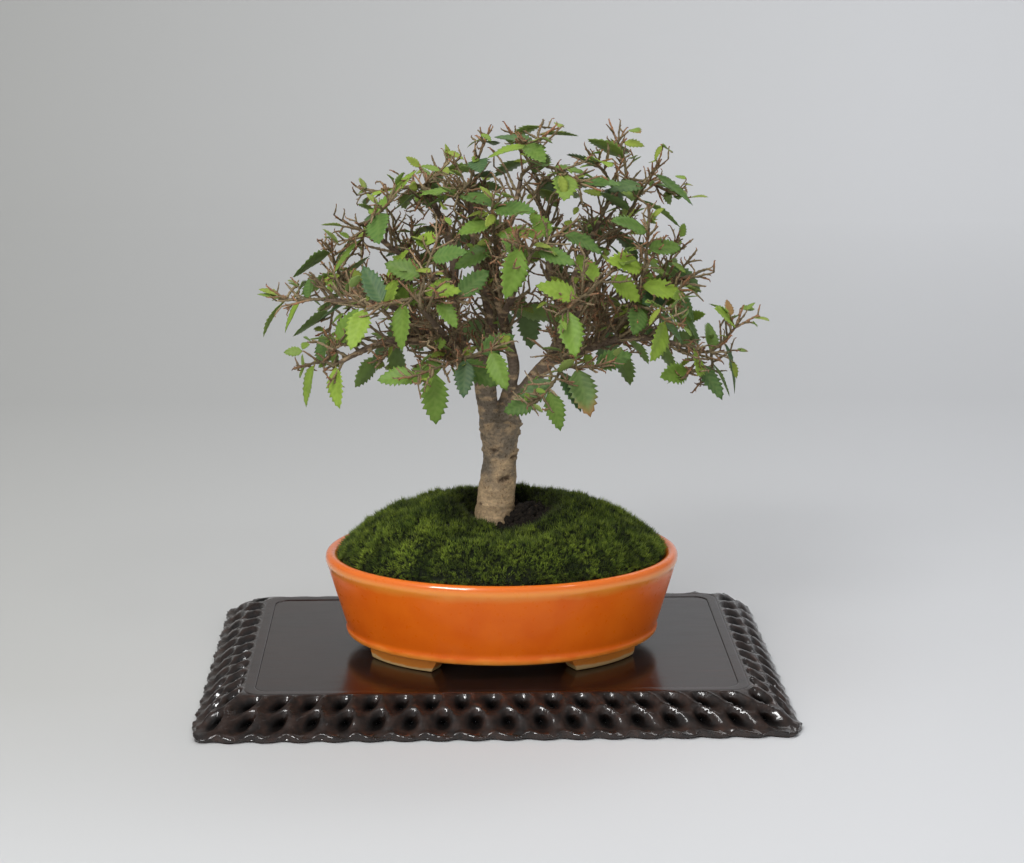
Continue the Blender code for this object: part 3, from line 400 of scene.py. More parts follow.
class Look:
    """A Principled material under construction."""

    def __init__(self, name, **values):
        self.material = bpy.data.materials.new(name)
        self.material.use_nodes = True
        self.nodes = self.material.node_tree.nodes
        for socket, value in values.items():
            self.set(socket.replace("_", " "), value)

    def join(self, socket, value):
        if isinstance(value, bpy.types.NodeSocket):
            self.material.node_tree.links.new(value, socket)
        else:
            socket.default_value = value

    def set(self, socket, value):
        """A constant or an output on one of the shader's own sockets."""
        self.join(self.nodes["Principled BSDF"].inputs[socket], value)

    def node(self, kind, links, output=0, **settings):
        """An output of a new node. links maps its inputs to values or to other nodes' outputs."""
        made = self.nodes.new("ShaderNode" + kind)
        for name, value in settings.items():
            setattr(made, name, value)
        for socket, value in links.items():
            self.join(made.inputs[socket], value)
        return made.outputs[output]

    def place(self, stretch=(1, 1, 1)):
        """The point being shaded, in millimetres, stretched along the axes."""
        where = self.node("TexCoord", {}, "Object")
        return self.node("Mapping", {"Vector": where, "Scale": [s / MM for s in stretch]})

    def noise(self, scale, detail=4.0, stretch=(1, 1, 1), distortion=0.0):
        """Noise with scale features for each millimetre."""
        links = {"Vector": self.place(stretch), "Scale": scale, "Detail": detail, "Distortion": distortion}
        return self.node("TexNoise", links, "Fac")

    def fit(self, value, low, high, at=(0.3, 0.7)):
        """A value brought from the range at to a range from low to high."""
        return self.node("MapRange", {"Value": value, "From Min": at[0], "From Max": at[1], "To Min": low,
                                      "To Max": high})

    def maths(self, operation, a, b):
        return self.node("Math", {0: a, 1: b}, operation=operation)

    def ramp(self, value, *stops):
        """A ramp of (position, colour) stops."""
        colours = self.node("ValToRGB", {"Fac": value})
        elements = colours.node.color_ramp.elements
        while len(elements) < len(stops):
            elements.new(0.5)
        for element, (position, colour) in zip(elements, stops):
            element.position = position
            element.color = (*colour, 1)
        return colours

    def mix(self, share, a, b, kind="MIX"):
        """One colour over another. a and b are colours or outputs."""
        a, b = ((*v, 1) if isinstance(v, tuple) else v for v in (a, b))
        return self.node("Mix", {0: share, 6: a, 7: b}, 2, data_type="RGBA", blend_type=kind)

    def tone(self):
        """The mesh's own colours."""
        return self.node("VertexColor", {}, layer_name="Tone")

    def tinted(self, layer):
        """The mesh's own colours times a layer."""
        self.set("Base Color", self.mix(1.0, self.tone(), layer, "MULTIPLY"))

    def roughness(self, low, high, *grain):
        self.set("Roughness", self.fit(self.noise(*grain), low, high))

    def bump(self, strength, distance, *grain):
        links = {"Height": self.noise(*grain), "Strength": strength, "Distance": distance * MM}
        self.set("Normal", self.node("Bump", links))


def grained(name, grain, stops, wear, relief=None, tinted=False, **values):
    """A material of one ramp over a noise. wear is its roughness and relief its bump."""
    look = Look(name, **values)
    colours = look.ramp(look.noise(*grain), *stops)
    if tinted:
        look.tinted(colours)
    else:
        look.set("Base Color", colours)
    look.roughness(*wear)
    if relief:
        look.bump(*relief)
    return look.material


def leaf_look():
    look = Look("leaf", Specular_IOR_Level=0.2)
    look.tinted(look.mix(look.fit(look.noise(0.35, 6), 0.82, 1.12), BLACK, WHITE))
    look.roughness(0.42, 0.6, 1.5)
    look.bump(0.2, 0.1, 3.2, 6)
    return look.material


def bark_look():
    look = Look("bark", Specular_IOR_Level=0.25)
    patches = look.noise(0.5, 8, (1, 1, 1.6), 0.6)
    patches = look.ramp(patches, (0.32, (0.72, 0.71, 0.7)), (0.68, (1.2, 1.17, 1.12)))
    fibres = look.ramp(look.noise(2.2, 6, (1, 1, 0.4)), (0.3, (0.84, 0.83, 0.81)), (0.7, (1.1, 1.09, 1.07)))
    spots = look.ramp(look.noise(0.9, 3), (0.6, WHITE), (0.67, (0.6, 0.52, 0.46)))
    look.tinted(look.mix(1.0, look.mix(1.0, patches, fibres, "MULTIPLY"), spots, "MULTIPLY"))
    look.roughness(0.72, 0.92, 1.0)
    look.bump(0.7, 0.3, 2.6, 8, (1, 1, 0.6))
    return look.material


def glaze_look():
    """Orange glaze, paler where it runs thin on the rim, painted lighter on the foot ring as painted light,
    over a cream bare edge.
    """
    look = Look("orange_glaze", Specular_IOR_Level=0.22, Coat_Roughness=0.06)
    level = look.node("SeparateXYZ", {"Vector": look.place()}, "Z")
    height = look.maths("ADD", level, look.fit(look.noise(0.09, 2), -0.8, 0.8))
    rim = look.fit(height, 0, 1, (53.0, 57.0))
    pale = look.mix(look.fit(level, 0, 1, (57.6, 59.6)), srgb(250, 152, 56), srgb(238, 117, 33))
    colour = look.ramp(look.noise(0.06, 5), (0.3, srgb(229, 99, 12)), (0.7, srgb(241, 114, 20)))
    colour = look.mix(rim, colour, pale)
    # Painted light: the foot ring's glaze is paler, standing in for the low front light that falls on the
    # feet.
    colour = look.mix(look.fit(height, 0, 1, (25.4, 22.5)), colour, srgb(255, 158, 64))
    look.set("Base Color", look.mix(look.fit(height, 0, 1, (16.8, 16.0)), colour, srgb(255, 212, 148)))
    look.set("Coat Weight", look.mix(rim, (0.12,) * 3, (1.0,) * 3))
    look.roughness(0.26, 0.36, 0.4)
    look.bump(0.12, 0.3, 0.25, 3)
    return look.material


def lacquer_look():
    """Dark brown lacquer of the carved border. Its mesh colours hold painted shade in the pits and painted
    light on each lip's lit side, and its gloss.
    """
    look = Look("lacquered_wood", Specular_IOR_Level=0.2, Coat_Roughness=0.06)
    wood = look.ramp(look.noise(0.22, 6), (0.35, srgb(26, 19, 16)), (0.62, srgb(48, 34, 28)),
                     (0.8, srgb(68, 44, 35)))
    lightness, gloss, _ = look.node("SeparateColor", {"Color": look.tone()}).node.outputs
    # Painted shade: the wood's colour is darkened by the mesh's painted pit shade.
    look.set("Base Color", look.mix(lightness, BLACK, wood))
    shine = look.mix(look.noise(0.9), (0.18,) * 3, (0.36,) * 3)
    look.set("Roughness", look.mix(gloss, (0.62,) * 3, shine))
    look.set("Coat Weight", gloss)
    look.bump(0.45, 0.35, 0.9, 5)
    return look.material


def floor_look():
    """Pale paper with painted shade: darker towards the left and the back, where it takes less light."""
    look = Look("floor", Specular_IOR_Level=0.12, Roughness=0.95)
    x, y, _ = look.node("SeparateXYZ", {"Vector": look.node("TexCoord", {}, "Object")}).node.outputs
    # Painted shade: the paper's colour darkens towards the left and the back, and the ramp darkens it in the
    # middle distance and lightens it again towards the wall.
    side = look.fit(look.maths("DIVIDE", x, look.maths("ADD", y, 1.0)), 1, 0, (-0.24, 0.2))
    shade = look.maths("MULTIPLY", side, look.fit(y, 0, 1, (-0.34, -0.02)))
    paper = look.mix(shade, srgb(218, 219, 221), srgb(195, 195, 192))
    falloff = look.ramp(look.fit(y, 0, 1, (-0.2, 1.5)), (0.0, (0.95,) * 3), (0.18, (0.9,) * 3),
                        (0.46, (0.8,) * 3), (0.66, (0.87,) * 3), (1.0, WHITE))
    look.set("Base Color", look.mix(1.0, paper, falloff, "MULTIPLY"))
    look.bump(0.06, 0.3, 0.9, 3)
    return look.material


LEAF = leaf_look()
BARK = bark_look()
GLAZE = glaze_look()
LACQUER = lacquer_look()
TWIG = grained("twig_bark", (1.4, 6), ((0.3, (0.55, 0.5, 0.48)), (0.7, (1.25, 1.2, 1.15))), (0.62, 0.85, 2.0),
               (0.5, 0.15, 4.0, 6), True, Specular_IOR_Level=0.3)
MOSS = grained("moss", (0.12, 4), ((0.3, (0.7, 0.76, 0.62)), (0.7, (1.3, 1.24, 1.1))), (0.6, 0.85, 0.8),
               tinted=True, Specular_IOR_Level=0.12, Sheen_Weight=0.06, Sheen_Roughness=0.5)
SOIL = grained("soil", (0.9, 8), ((0.3, srgb(17, 14, 11)), (0.6, srgb(38, 31, 24)), (0.75, srgb(62, 50, 39))),
               (0.82, 0.98, 1.2), (0.9, 0.8, 1.6, 8), Specular_IOR_Level=0.2)
PANEL = grained("panel_wood", (0.5, 8, (0.05, 1.0, 1.0), 0.3),
                ((0.3, srgb(20, 11, 8)), (0.6, srgb(40, 22, 16)), (0.8, srgb(60, 30, 22))),
                (0.16, 0.26, 0.3, 4, (0.2, 1, 1)), (0.05, 0.2, 0.8, 4, (0.06, 1, 1)),
                Specular_IOR_Level=0.32, Coat_Weight=0.28, Coat_Roughness=0.14)
SCREEN = grained("screen_plastic", (0.8, 2), ((0.3, srgb(26, 28, 26)), (0.7, srgb(44, 46, 43))),
                 (0.5, 0.7, 1.0), Specular_IOR_Level=0.4)


def camera():
    data = bpy.data.cameras.new("camera")
    data.lens = LENS
    data.sensor_width = 36
    data.clip_start = 0.01
    data.clip_end = 20
    thing = placed("camera", data)
    thing.location = Vector(EYE) * MM
    thing.rotation_euler = (radians(90 - PITCH), 0, radians(-YAW))
    bpy.context.scene.camera = thing


def area_light(name, place, target, size, power, colour=WHITE, mirrored=False, lights=True):
    """A soft light. Only a mirrored one shows in gloss, and one that doesn't light shows there alone."""
    data = bpy.data.lights.new(name, "AREA")
    data.shape = "RECTANGLE"
    data.size, data.size_y = size
    data.energy = power
    data.color = colour
    thing = placed(name, data)
    thing.location = place
    thing.rotation_euler = (Vector(target) - Vector(place)).to_track_quat("-Z", "Y").to_euler()
    thing.visible_glossy = mirrored
    thing.visible_diffuse = lights


def studio():
    """A pale floor that sweeps up into a wall far behind, and soft light from the upper left, in metres."""
    half, back, bend, top = 7.0, 1.5, 0.8, 3.0
    section = [(-7.0, 0.0), (-1.0, 0.0), (0.0, 0.0), (back, 0.0)]
    section += [(back + bend * sin(a), bend * (1 - cos(a))) for a in (pi / 2 * k / 12 for k in range(1, 13))]
    section.append((back + bend, top))
    points = [(x, y, z) for y, z in section for x in (-half, half)]
    data = mesh("floor", points, grid(len(section), 2, closed=False), 1)
    data.materials.append(floor_look())
    data.shade_smooth()
    placed("floor", data)
    world = bpy.data.worlds.new("studio")
    world.use_nodes = True
    background = world.node_tree.nodes["Background"].inputs
    background["Color"].default_value = (0.9, 0.92, 0.95, 1)
    background["Strength"].default_value = 0.36
    bpy.context.scene.world = world
    area_light("sky", (-0.3, -0.5, 1.8), (0, -0.05, 0.1), (1.7, 1.3), 15.5)
    area_light("window", (-1.15, -1.45, 1.0), (0, 0, 0.12), (1.0, 0.8), 6, (1.0, 0.98, 0.95))
    area_light("lamp", (-0.6, -1.1, 1.25), (0, 0, 0.08), (0.6, 0.2), 8, mirrored=True)
    area_light("sparkle", (-0.62, -1.2, 0.8), (0, 0, 0.03), (0.5, 0.2), 12, mirrored=True, lights=False)
    area_light("glint", (0.75, -0.9, 1.3), (0, 0, 0.03), (0.22, 0.12), 1.6, mirrored=True)
    area_light("fill", (1.5, -0.7, 0.7), (0, 0, 0.1), (1.0, 0.9), 0.5)
    area_light("backdrop", (0.9, 1.3, 2.5), (0.7, 2.6, 0.6), (1.6, 1.0), 21, mirrored=True)
    bpy.context.scene.view_settings.view_transform = "Standard"


def stand_path(share, inset):
    """A point of the stand's rounded rectangle in plan, drawn in by inset. share runs once round."""
    half_x, half_y, r = STAND_LENGTH / 2, STAND_DEPTH / 2, STAND_CORNER
    straight_x, straight_y, arc = 2 * (half_x - r), 2 * (half_y - r), pi / 2 * r
    left = share % 1 * 2 * (straight_x + straight_y + 2 * arc)
    for quarter in range(4):
        run = straight_x if quarter % 2 == 0 else straight_y
        turn = quarter * pi / 2
        corner_x = (half_x - r) * (1 if quarter in (0, 1) else -1)
        corner_y = (half_y - r) * (-1 if quarter in (0, 3) else 1)
        if left < run + arc:
            break
        left -= run + arc
    angle = turn - pi / 2 + max(0.0, left - run) / r
    back = max(0.0, run - left)
    x = corner_x - back * cos(turn) + r * cos(angle)
    y = corner_y - back * sin(turn) + r * sin(angle)
    return x * (half_x - inset) / half_x, y * (half_y - inset) / half_y


def path_shares():
    """Shares of the way round at the ends of the straight sides and at fine steps round each corner."""
    r = STAND_CORNER
    runs = (STAND_LENGTH - 2 * r, STAND_DEPTH - 2 * r) * 2
    arc = pi / 2 * r
    whole = sum(runs) + 4 * arc
    shares, at = [], 0.0
    for run in runs:
        shares += [(at + run * i / 4) / whole for i in range(1, 4)]
        at += run
        shares += [(at + arc * i / CORNER_STEPS) / whole for i in range(CORNER_STEPS + 1)]
        at += arc
    return sorted(share % 1 for share in shares)


def nearest_hole(share, degrees):
    """Offset from the border's nearest hole, with the millimetres of a cell and of a degree there."""
    offsets = []
    for row, shift, tall in HOLE_ROWS:
        angle = radians(row)
        inset = BORDER_RUN * (1 - cos(angle))
        pitch = (2 * (STAND_LENGTH + STAND_DEPTH) - 8 * inset) / BORDER_CELLS
        for_degree = radians(hypot(BORDER_RUN * sin(angle), BORDER_RISE * cos(angle))) / tall
        across = share * BORDER_CELLS - shift
        offsets.append(((across - round(across)) * pitch, (degrees - row) * for_degree, pitch, for_degree))
    return min(offsets, key=lambda o: hypot(o[0], o[1]))


def on_side(share, side):
    """1 along one side of the border and 0 elsewhere, with a short blend at its ends."""
    return smooth(side[0] - 0.01, side[0] + 0.01, share) * smooth(side[1], side[1] - 0.01, share)


def lip_side(share, x, y):
    """How far a place round a hole lies on the side where the lip curls up, -1 to 1."""
    turn = CURL_TURN + (pi - 2 * CURL_TURN) * on_side(share, LEFT_SIDE)
    return cos(atan2(y, x) - turn)


def carving(share, degrees):
    """Height of the carved relief over the border's smooth sheet."""
    x, y, *_ = nearest_hole(share, degrees)
    r = hypot(x, y)
    swing = tau * share * BORDER_CELLS
    calm = on_side(share, RIGHT_SIDE)
    height = CREST_HEIGHT - (CARVING_DEPTH + CREST_HEIGHT) * exp(-max(0, r - HOLE_RADIUS) / CARVING_REACH)
    rib = share * BORDER_CELLS + (degrees - HOLE_ROWS[0][0]) / (2 * (HOLE_ROWS[0][0] - HOLE_ROWS[1][0]))
    height -= RIB_HEIGHT * cos(tau * rib) * smooth(12, 28, degrees)
    height += CURL_HEIGHT * lip_side(share, x, y) * exp(-((r - HOLE_RADIUS - 1.5) / 1.2) ** 2)
    crest = 12 + 6 * sin(swing + 0.6 + 0.5 * sin(swing + 0.6))
    wave = WAVE_HEIGHT * (1 - 0.8 * calm) * (1 + 0.5 * rough(share * 500, degrees * 0.2, 7))
    height += wave * exp(-((degrees - crest) / 4) ** 2) * smooth(34, 20, degrees)
    height += 0.35 * rough(share * 400, degrees * 0.12, 3)
    height += 0.22 * rough(share * 640, degrees * 0.28, 11) * (1 - calm)
    height *= smooth(90, 78, degrees) * (0.35 + 0.65 * smooth(-1, 8, degrees))
    height *= 1 - 0.9 * on_side(share, BACK_SIDE) * smooth(44, 62, degrees)
    return height + EDGE_BULGE * (1 - 0.4 * calm) * (0.5 - 0.5 * cos(swing)) * smooth(32, 12, degrees)


def border_tone(share, degrees):
    """Painted shade and gloss on the carved sheet: the wood painted darker in the pits as shade, lighter on
    each lip's lit side as painted light, and dull in the pits.
    """
    x, y, *_ = nearest_hole(share, degrees)
    r = hypot(x, y)
    left = on_side(share, LEFT_SIDE)
    lit = max(0.0, lip_side(share, x, y))
    # Painted light and shade: the wood is painted dark in the pits as shade, with the pale edge reaching
    # further in on each lip's lit side as painted light, less so on the left side.
    lift = lit * (1 - 0.8 * left)
    pit_shade_and_dullness = smooth(HOLE_RADIUS - 0.3 - 1.6 * lift, HOLE_RADIUS + 1.6 - 1.1 * lift, r)
    round_side = smooth(0.275, 0.295, share) * smooth(1.0, 0.985, share)
    wave = smooth(20, 14, degrees) * smooth(-2, 6, degrees)
    gloss = pit_shade_and_dullness * max(0.06 + 0.6 * round_side, lit * smooth(HOLE_RADIUS + 4, HOLE_RADIUS + 2, r), wave)
    pit_wall = left * smooth(1.0, 1.8, r) * smooth(4.0, 3.2, r) * max(0.0, -x / max(r, 0.1))
    return 0.1 + 0.9 * pit_shade_and_dullness, max(gloss, pit_wall), 0


def border_sheets():
    """The carved outer sheet with its holes, the plain inner one and the walls that join them."""
    rows, columns = BORDER_ROWS + 1, BORDER_CELLS * CELL_COLUMNS
    places = [(c / columns, 90 * r / BORDER_ROWS) for c in range(columns) for r in range(rows)]
    faces = []
    for face in grid(columns, rows, closed=False, looped=True, flipped=True):
        c, r = divmod(face[0], rows)
        x, y, *_ = nearest_hole((c + 0.5) / columns, 90 * (r + 0.5) / BORDER_ROWS)
        if hypot(x, y) > HOLE_RADIUS:
            faces.append(face)
    sides = dict.fromkeys(side for face in faces for side in zip(face, face[1:] + face[:1]))
    edge = [(a, b) for a, b in sides if (b, a) not in sides]
    behind = list(places)
    for corner in {i for side in edge for i in side}:
        share, degrees = places[corner]
        x, y, pitch, for_degree = nearest_hole(share, degrees)
        if 0 < degrees < 90:
            for radius, sheet in ((HOLE_RADIUS, places), (INNER_HOLE_RADIUS, behind)):
                moved = radius / hypot(x, y) - 1
                sheet[corner] = (share + x * moved / pitch / BORDER_CELLS, degrees + y * moved / for_degree)
    outer, inner, tones = [], [], []
    power = 2 / BORDER_CURVE
    for (share, degrees), (share_behind, degrees_behind) in zip(places, behind):
        angle = radians(degrees)
        height = carving(share, degrees)
        cosine, sine = max(0.0, cos(angle)), max(0.0, sin(angle))
        out, up = Vector((cosine ** (2 - power) / BORDER_RUN, sine ** (2 - power) / BORDER_RISE)).normalized()
        inset = BORDER_RUN * (1 - cosine ** power) - out * height
        scallop = SCALLOP * (0.5 + 0.5 * cos(tau * share * BORDER_CELLS)) * smooth(8, 0, degrees)
        outer.append((*stand_path(share, inset), max(BORDER_RISE * sine ** power + up * height, 0) + scallop))
        tones.append(border_tone(share, degrees))
        angle = radians(degrees_behind)
        inset = BORDER_RUN - (BORDER_RUN - BORDER_WALL) * max(0.0, cos(angle)) ** power
        level = (BORDER_RISE - BORDER_WALL) * max(0.0, sin(angle)) ** power
        inner.append((*stand_path(share_behind, inset), max(level, scallop)))
    faces = shell(faces, edge, len(outer))
    # The inner sheet is painted near black, as painted shade deep inside the holes.
    points, tones = outer + inner, tones + [(0.06, 0, 0)] * len(outer)
    used = sorted({i for face in faces for i in face})
    new = {old: i for i, old in enumerate(used)}
    faces = [tuple(new[i] for i in face) for face in faces]
    return [points[i] for i in used], faces, [tones[i] for i in used]


def swept(section, looped):
    """A section of (inset, height) swept round the stand: looped into a ring, or capped at both ends."""
    shares = path_shares()
    points = [(*stand_path(share, inset), z) for inset, z in section for share in shares]
    size = len(section), len(shares)
    return Shape(points, grid(*size, looped=True) if looped else barrel(*size), WHITE)


def stand():
    """The carved border, the plain strip inside it and the polished panel."""
    lattice = Shape(*border_sheets()).made("carved_border", [LACQUER])
    strip = swept(((STRIP_OUTER - 0.6, 12.6), (STRIP_OUTER, 13.9), (STRIP_OUTER + 0.4, STRIP_TOP - 0.15),
                   (STRIP_OUTER + 1.0, STRIP_TOP), (STRIP_OUTER + 1.4, STRIP_TOP),
                   (STRIP_INNER - 0.6, STRIP_TOP - 0.08), (STRIP_INNER - 0.25, STRIP_TOP - 0.1),
                   (STRIP_INNER, STRIP_TOP - 0.3), (STRIP_INNER, LEDGE_TOP), (LEDGE_INNER, LEDGE_TOP),
                   (LEDGE_INNER, LEDGE_BOTTOM), (STRIP_OUTER + 1, 9.0)), True)
    for piece in (lattice, strip.made("border_strip", [PANEL], sharp=35)):
        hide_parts("stand_frame")
    section = [(PANEL_EDGE, PANEL_BOTTOM)]
    section += [(PANEL_EDGE + inward, PANEL_TOP - drop)
                for inward, drop in ((0, 0.25), (0.1, 0.05), (0.3, 0), (0.7, 0))]
    panel = swept([*section, (PANEL_MIDDLE, PANEL_TOP)], False)
    panel = panel.made("polished_panel", [PANEL], sharp=50)
    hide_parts("stand_panel")


def cut_corners(points, rounds):
    """Rounds an open outline by cutting its corners again and again."""
    for _ in range(rounds):
        finer = [points[0]]
        for a, b in zip(points, points[1:]):
            finer += [blend(a, b, 0.25), blend(a, b, 0.75)]
        points = [*finer, points[-1]]
    return points


def turned_pot():
    """The pot's body: its profile turned and drawn in along Y."""
    profile = cut_corners(POT_PROFILE, 2)
    rows = profile[1:-1]
    points = [(*POT_CENTRE, profile[0][1])]
    for r, z in rows:
        points += [(*oval(POT_CENTRE, r, r * POT_OVAL, tau * k / POT_STEPS), z) for k in range(POT_STEPS)]
    last, end = len(points), len(points) - POT_STEPS
    points.append((*POT_CENTRE, profile[-1][1]))
    faces = fan(0, 1, POT_STEPS) + grid(len(rows), POT_STEPS, flipped=True, start=1)
    return points, faces + [(a, last, b) for _, a, b in fan(last, end, POT_STEPS)]


def foot(side_x, side_y):
    """One of four low feet that follow the pot's oval, with sloping ends and a softened lower edge."""
    section = ((0.4, FOOT_TOP), (0.0, 19.0), (0.05, 16.0), (0.3, 15.0), (0.8, FOOT_BOTTOM),
               (FOOT_WIDTH - 0.6, FOOT_BOTTOM), (FOOT_WIDTH, 15.2), (FOOT_WIDTH, FOOT_TOP))
    points = []
    for i in range(FOOT_SECTIONS):
        along = i / (FOOT_SECTIONS - 1)
        for inward, z in section:
            slope = FOOT_END_SLOPE * (FOOT_TOP - z) / (FOOT_TOP - FOOT_BOTTOM)
            angle = radians(FOOT_ARC[0] + (FOOT_ARC[1] - FOOT_ARC[0]) * along + slope * (1 - 2 * along))
            points.append((*oval(POT_CENTRE, side_x * (FOOT_RING - inward),
                                 side_y * (FOOT_RING * POT_OVAL - FOOT_INSET - inward), angle), z))
    n = len(section)
    caps = [tuple(range(n)), tuple(reversed(range((FOOT_SECTIONS - 1) * n, FOOT_SECTIONS * n)))]
    return points, grid(FOOT_SECTIONS, n) + caps


def plain_object(points, faces):
    """An object for cutting and joining, with its faces turned out."""
    data = mesh("block", points, faces)
    shape = bmesh.new()
    shape.from_mesh(data)
    bmesh.ops.recalc_face_normals(shape, faces=shape.faces)
    shape.to_mesh(data)
    shape.free()
    return placed("block", data)


def pot():
    """The glazed pot with its feet and drain holes, as one body."""
    body = plain_object(*turned_pot())
    others = []
    for x in (-1, 1):
        for y in (-1, 1):
            others.append(("UNION", plain_object(*foot(x, y))))
        centre = (POT_CENTRE[0] + x * DRAIN_SPACING, POT_CENTRE[1])
        points = [(*oval(centre, DRAIN_RADIUS, DRAIN_RADIUS, tau * k / DRAIN_STEPS), z)
                  for z in (BODY_BOTTOM - 4, POT_FLOOR + 4) for k in range(DRAIN_STEPS)]
        others.append(("DIFFERENCE", plain_object(points, barrel(2, DRAIN_STEPS))))
    for operation, other in others:
        step = body.modifiers.new("join", "BOOLEAN")
        step.operation = operation
        step.object = other
    data = applied("glazed_pot", body, *(other for _, other in others))
    piece = dressed("glazed_pot", data, [GLAZE], sharp=38)
    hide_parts("pot")


def in_crater(x, y):
    return out_of(x, y, CRATER_CENTRE, CRATER_SIZE)


def mound_height(x, y):
    """Height of the moss mound: a steep dome, lower at its front, with a crater round the trunk."""
    out = out_of(x, y, POT_CENTRE, (FILL_HALF_LENGTH, FILL_HALF_LENGTH * POT_OVAL))
    dome = DOME_HEIGHT * max(0.0, 1 - out ** DOME_SHAPE[0]) ** DOME_SHAPE[1]
    saddle = 1 - SADDLE_DEPTH * hump(x, y, *SADDLE)
    lumps = LUMP_HEIGHT * sin(x * 0.19 + 1.3 * sin(y * 0.13)) * cos(y * 0.23 + 0.6)
    height = RIM_TOP - MOSS_EDGE_DROP + dome * saddle + lumps * min(1.0, dome / 6)
    inside = 1 - smooth(*CRATER_SLOPE, in_crater(x, y))
    return height * (1 - inside) + (CRATER_FLOOR + HEAP_HEIGHT * hump(x, y, *HEAP)) * inside


def clump(x, y):
    """Uneven growth of the moss over the even mound, about -1 to 1."""
    return 0.8 * rough(x, y, 0, 0.11) + 0.6 * rough(x, y, 20, 0.45)


def mound_point(share, angle):
    """A plan point between the crater's moss edge, share 0, and the pot's rim, share 1."""
    inner = oval(CRATER_CENTRE, MOSS_EDGE * CRATER_SIZE[0], MOSS_EDGE * CRATER_SIZE[1], angle)
    return blend(inner, oval(POT_CENTRE, FILL_HALF_LENGTH, FILL_HALF_LENGTH * POT_OVAL, angle), share)


def moss_bed():
    """The dark cushion that the shoots stand in."""
    rows = [(i / MOSS_RINGS, MOSS_SINK) for i in range(MOSS_RINGS + 1)]
    rows += [(1, MOSS_EDGE_THICKNESS), (0.9, MOSS_THICKNESS), (0.34, MOSS_THICKNESS), (0, MOSS_THICKNESS)]
    points = []
    for share, depth in rows:
        for k in range(MOSS_STEPS):
            x, y = mound_point(share, tau * k / MOSS_STEPS)
            lump = CLUMP_HEIGHT * clump(x, y) * (depth == MOSS_SINK) * (0 < share < 1)
            points.append((x, y, mound_height(x, y) - depth + lump))
    faces = grid(len(rows), MOSS_STEPS, looped=True, flipped=True)
    bed = Shape(points, faces, srgb(20, 26, 10)).made("moss_bed", [MOSS])
    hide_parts("moss")


def moss_shoots():
    """Thousands of upright shoots, each a small star of needles, spread evenly over the mound."""
    rng = random.Random(SEED)
    places = []
    half = FILL_HALF_LENGTH + 0.2
    while len(places) < MOSS_SHOOTS:
        angle, share = rng.uniform(0, tau), sqrt(rng.random())
        x, y = oval(POT_CENTRE, half * share, half * POT_OVAL * share, angle)
        if in_crater(x, y) < MOSS_EDGE + 0.02 + 0.08 * rough(x, y, 9, 0.3):
            continue
        z = mound_height(x, y)
        slope = Vector((mound_height(x + 0.5, y) - z, mound_height(x, y + 0.5) - z, 0)) / 0.5
        if rng.random() * 2.4 < hypot(1, slope.length):
            up = Vector((-slope.x * 0.7, -slope.y * 0.7, 1)).normalized()
            places.append((x, y, z - 1.0 + CLUMP_HEIGHT * clump(x, y), up))
    places.sort(key=lambda place: place[0])
    count = MOSS_SHOOTS // MOSS_PIECES
    for part in range(MOSS_PIECES):
        shape = Shape(*shoot_stars(places[part * count:(part + 1) * count], rng))
        piece = shape.made(f"moss_shoots_{part + 1}", [MOSS])
        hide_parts("moss")


def shoot_stars(places, rng):
    """Points, faces and colours of moss shoots: four corners and four faces for each needle."""
    points, tones = [], []
    for x, y, z, up in places:
        base = Vector((x, y, z))
        patch = 0.5 + 0.5 * rough(x, y, 4, 0.09)
        fresh = min(1, max(0, patch * 0.7 + 0.35 * clump(x, y) + rng.uniform(-0.35, 0.45)))
        # Painted shade: shoots are darker in the crater round the trunk and in the hollows between clumps;
        # each shoot also gets a random spread of brightness.
        painted_shade_and_spread = 0.25 + 0.75 * smooth(0.75, 1.4, in_crater(x, y))
        painted_shade_and_spread *= (0.5 + 0.5 * smooth(-0.35, 0.25, clump(x, y))) * rng.uniform(0.8, 1.2)
        tip_tone = scaled(blend(srgb(66, 88, 28), srgb(160, 182, 66), fresh), painted_shade_and_spread)
        root_tone = scaled(blend(srgb(10, 15, 5), srgb(32, 44, 16), fresh), painted_shade_and_spread)
        length = rng.uniform(*SHOOT_LENGTH)
        lean = (up + scatter(rng, 0.35)).normalized()
        side = lean.orthogonal().normalized()
        turn = rng.uniform(0, tau)
        for k in range(SHOOT_NEEDLES):
            out = Matrix.Rotation(turn + tau * k / SHOOT_NEEDLES, 3, lean) @ side
            spread = rng.uniform(0.25, 0.7) if k else 0.05
            tip = base + (lean + out * spread).normalized() * length * (rng.uniform(0.65, 1.0) if k else 1.1)
            across = lean.cross(out).normalized() * NEEDLE_RADIUS
            root = base + out * 0.1
            points += [root + across, root - across, root + out * NEEDLE_RADIUS * 1.6, tip]
            tones += [root_tone, root_tone, root_tone, tip_tone]
    corners = np.arange(len(points) // 4)[:, None] * 4
    faces = np.concatenate([corners + f for f in ((0, 1, 2), (1, 0, 3), (2, 1, 3), (0, 2, 3))])
    return points, faces.tolist(), tones


def soil_level(x, y):
    """Height of the soil in the crater, with the heap against the trunk."""
    return mound_height(x, y) + PILE_HEIGHT * hump(x, y, PILE_CENTRE, PILE_SIZE)


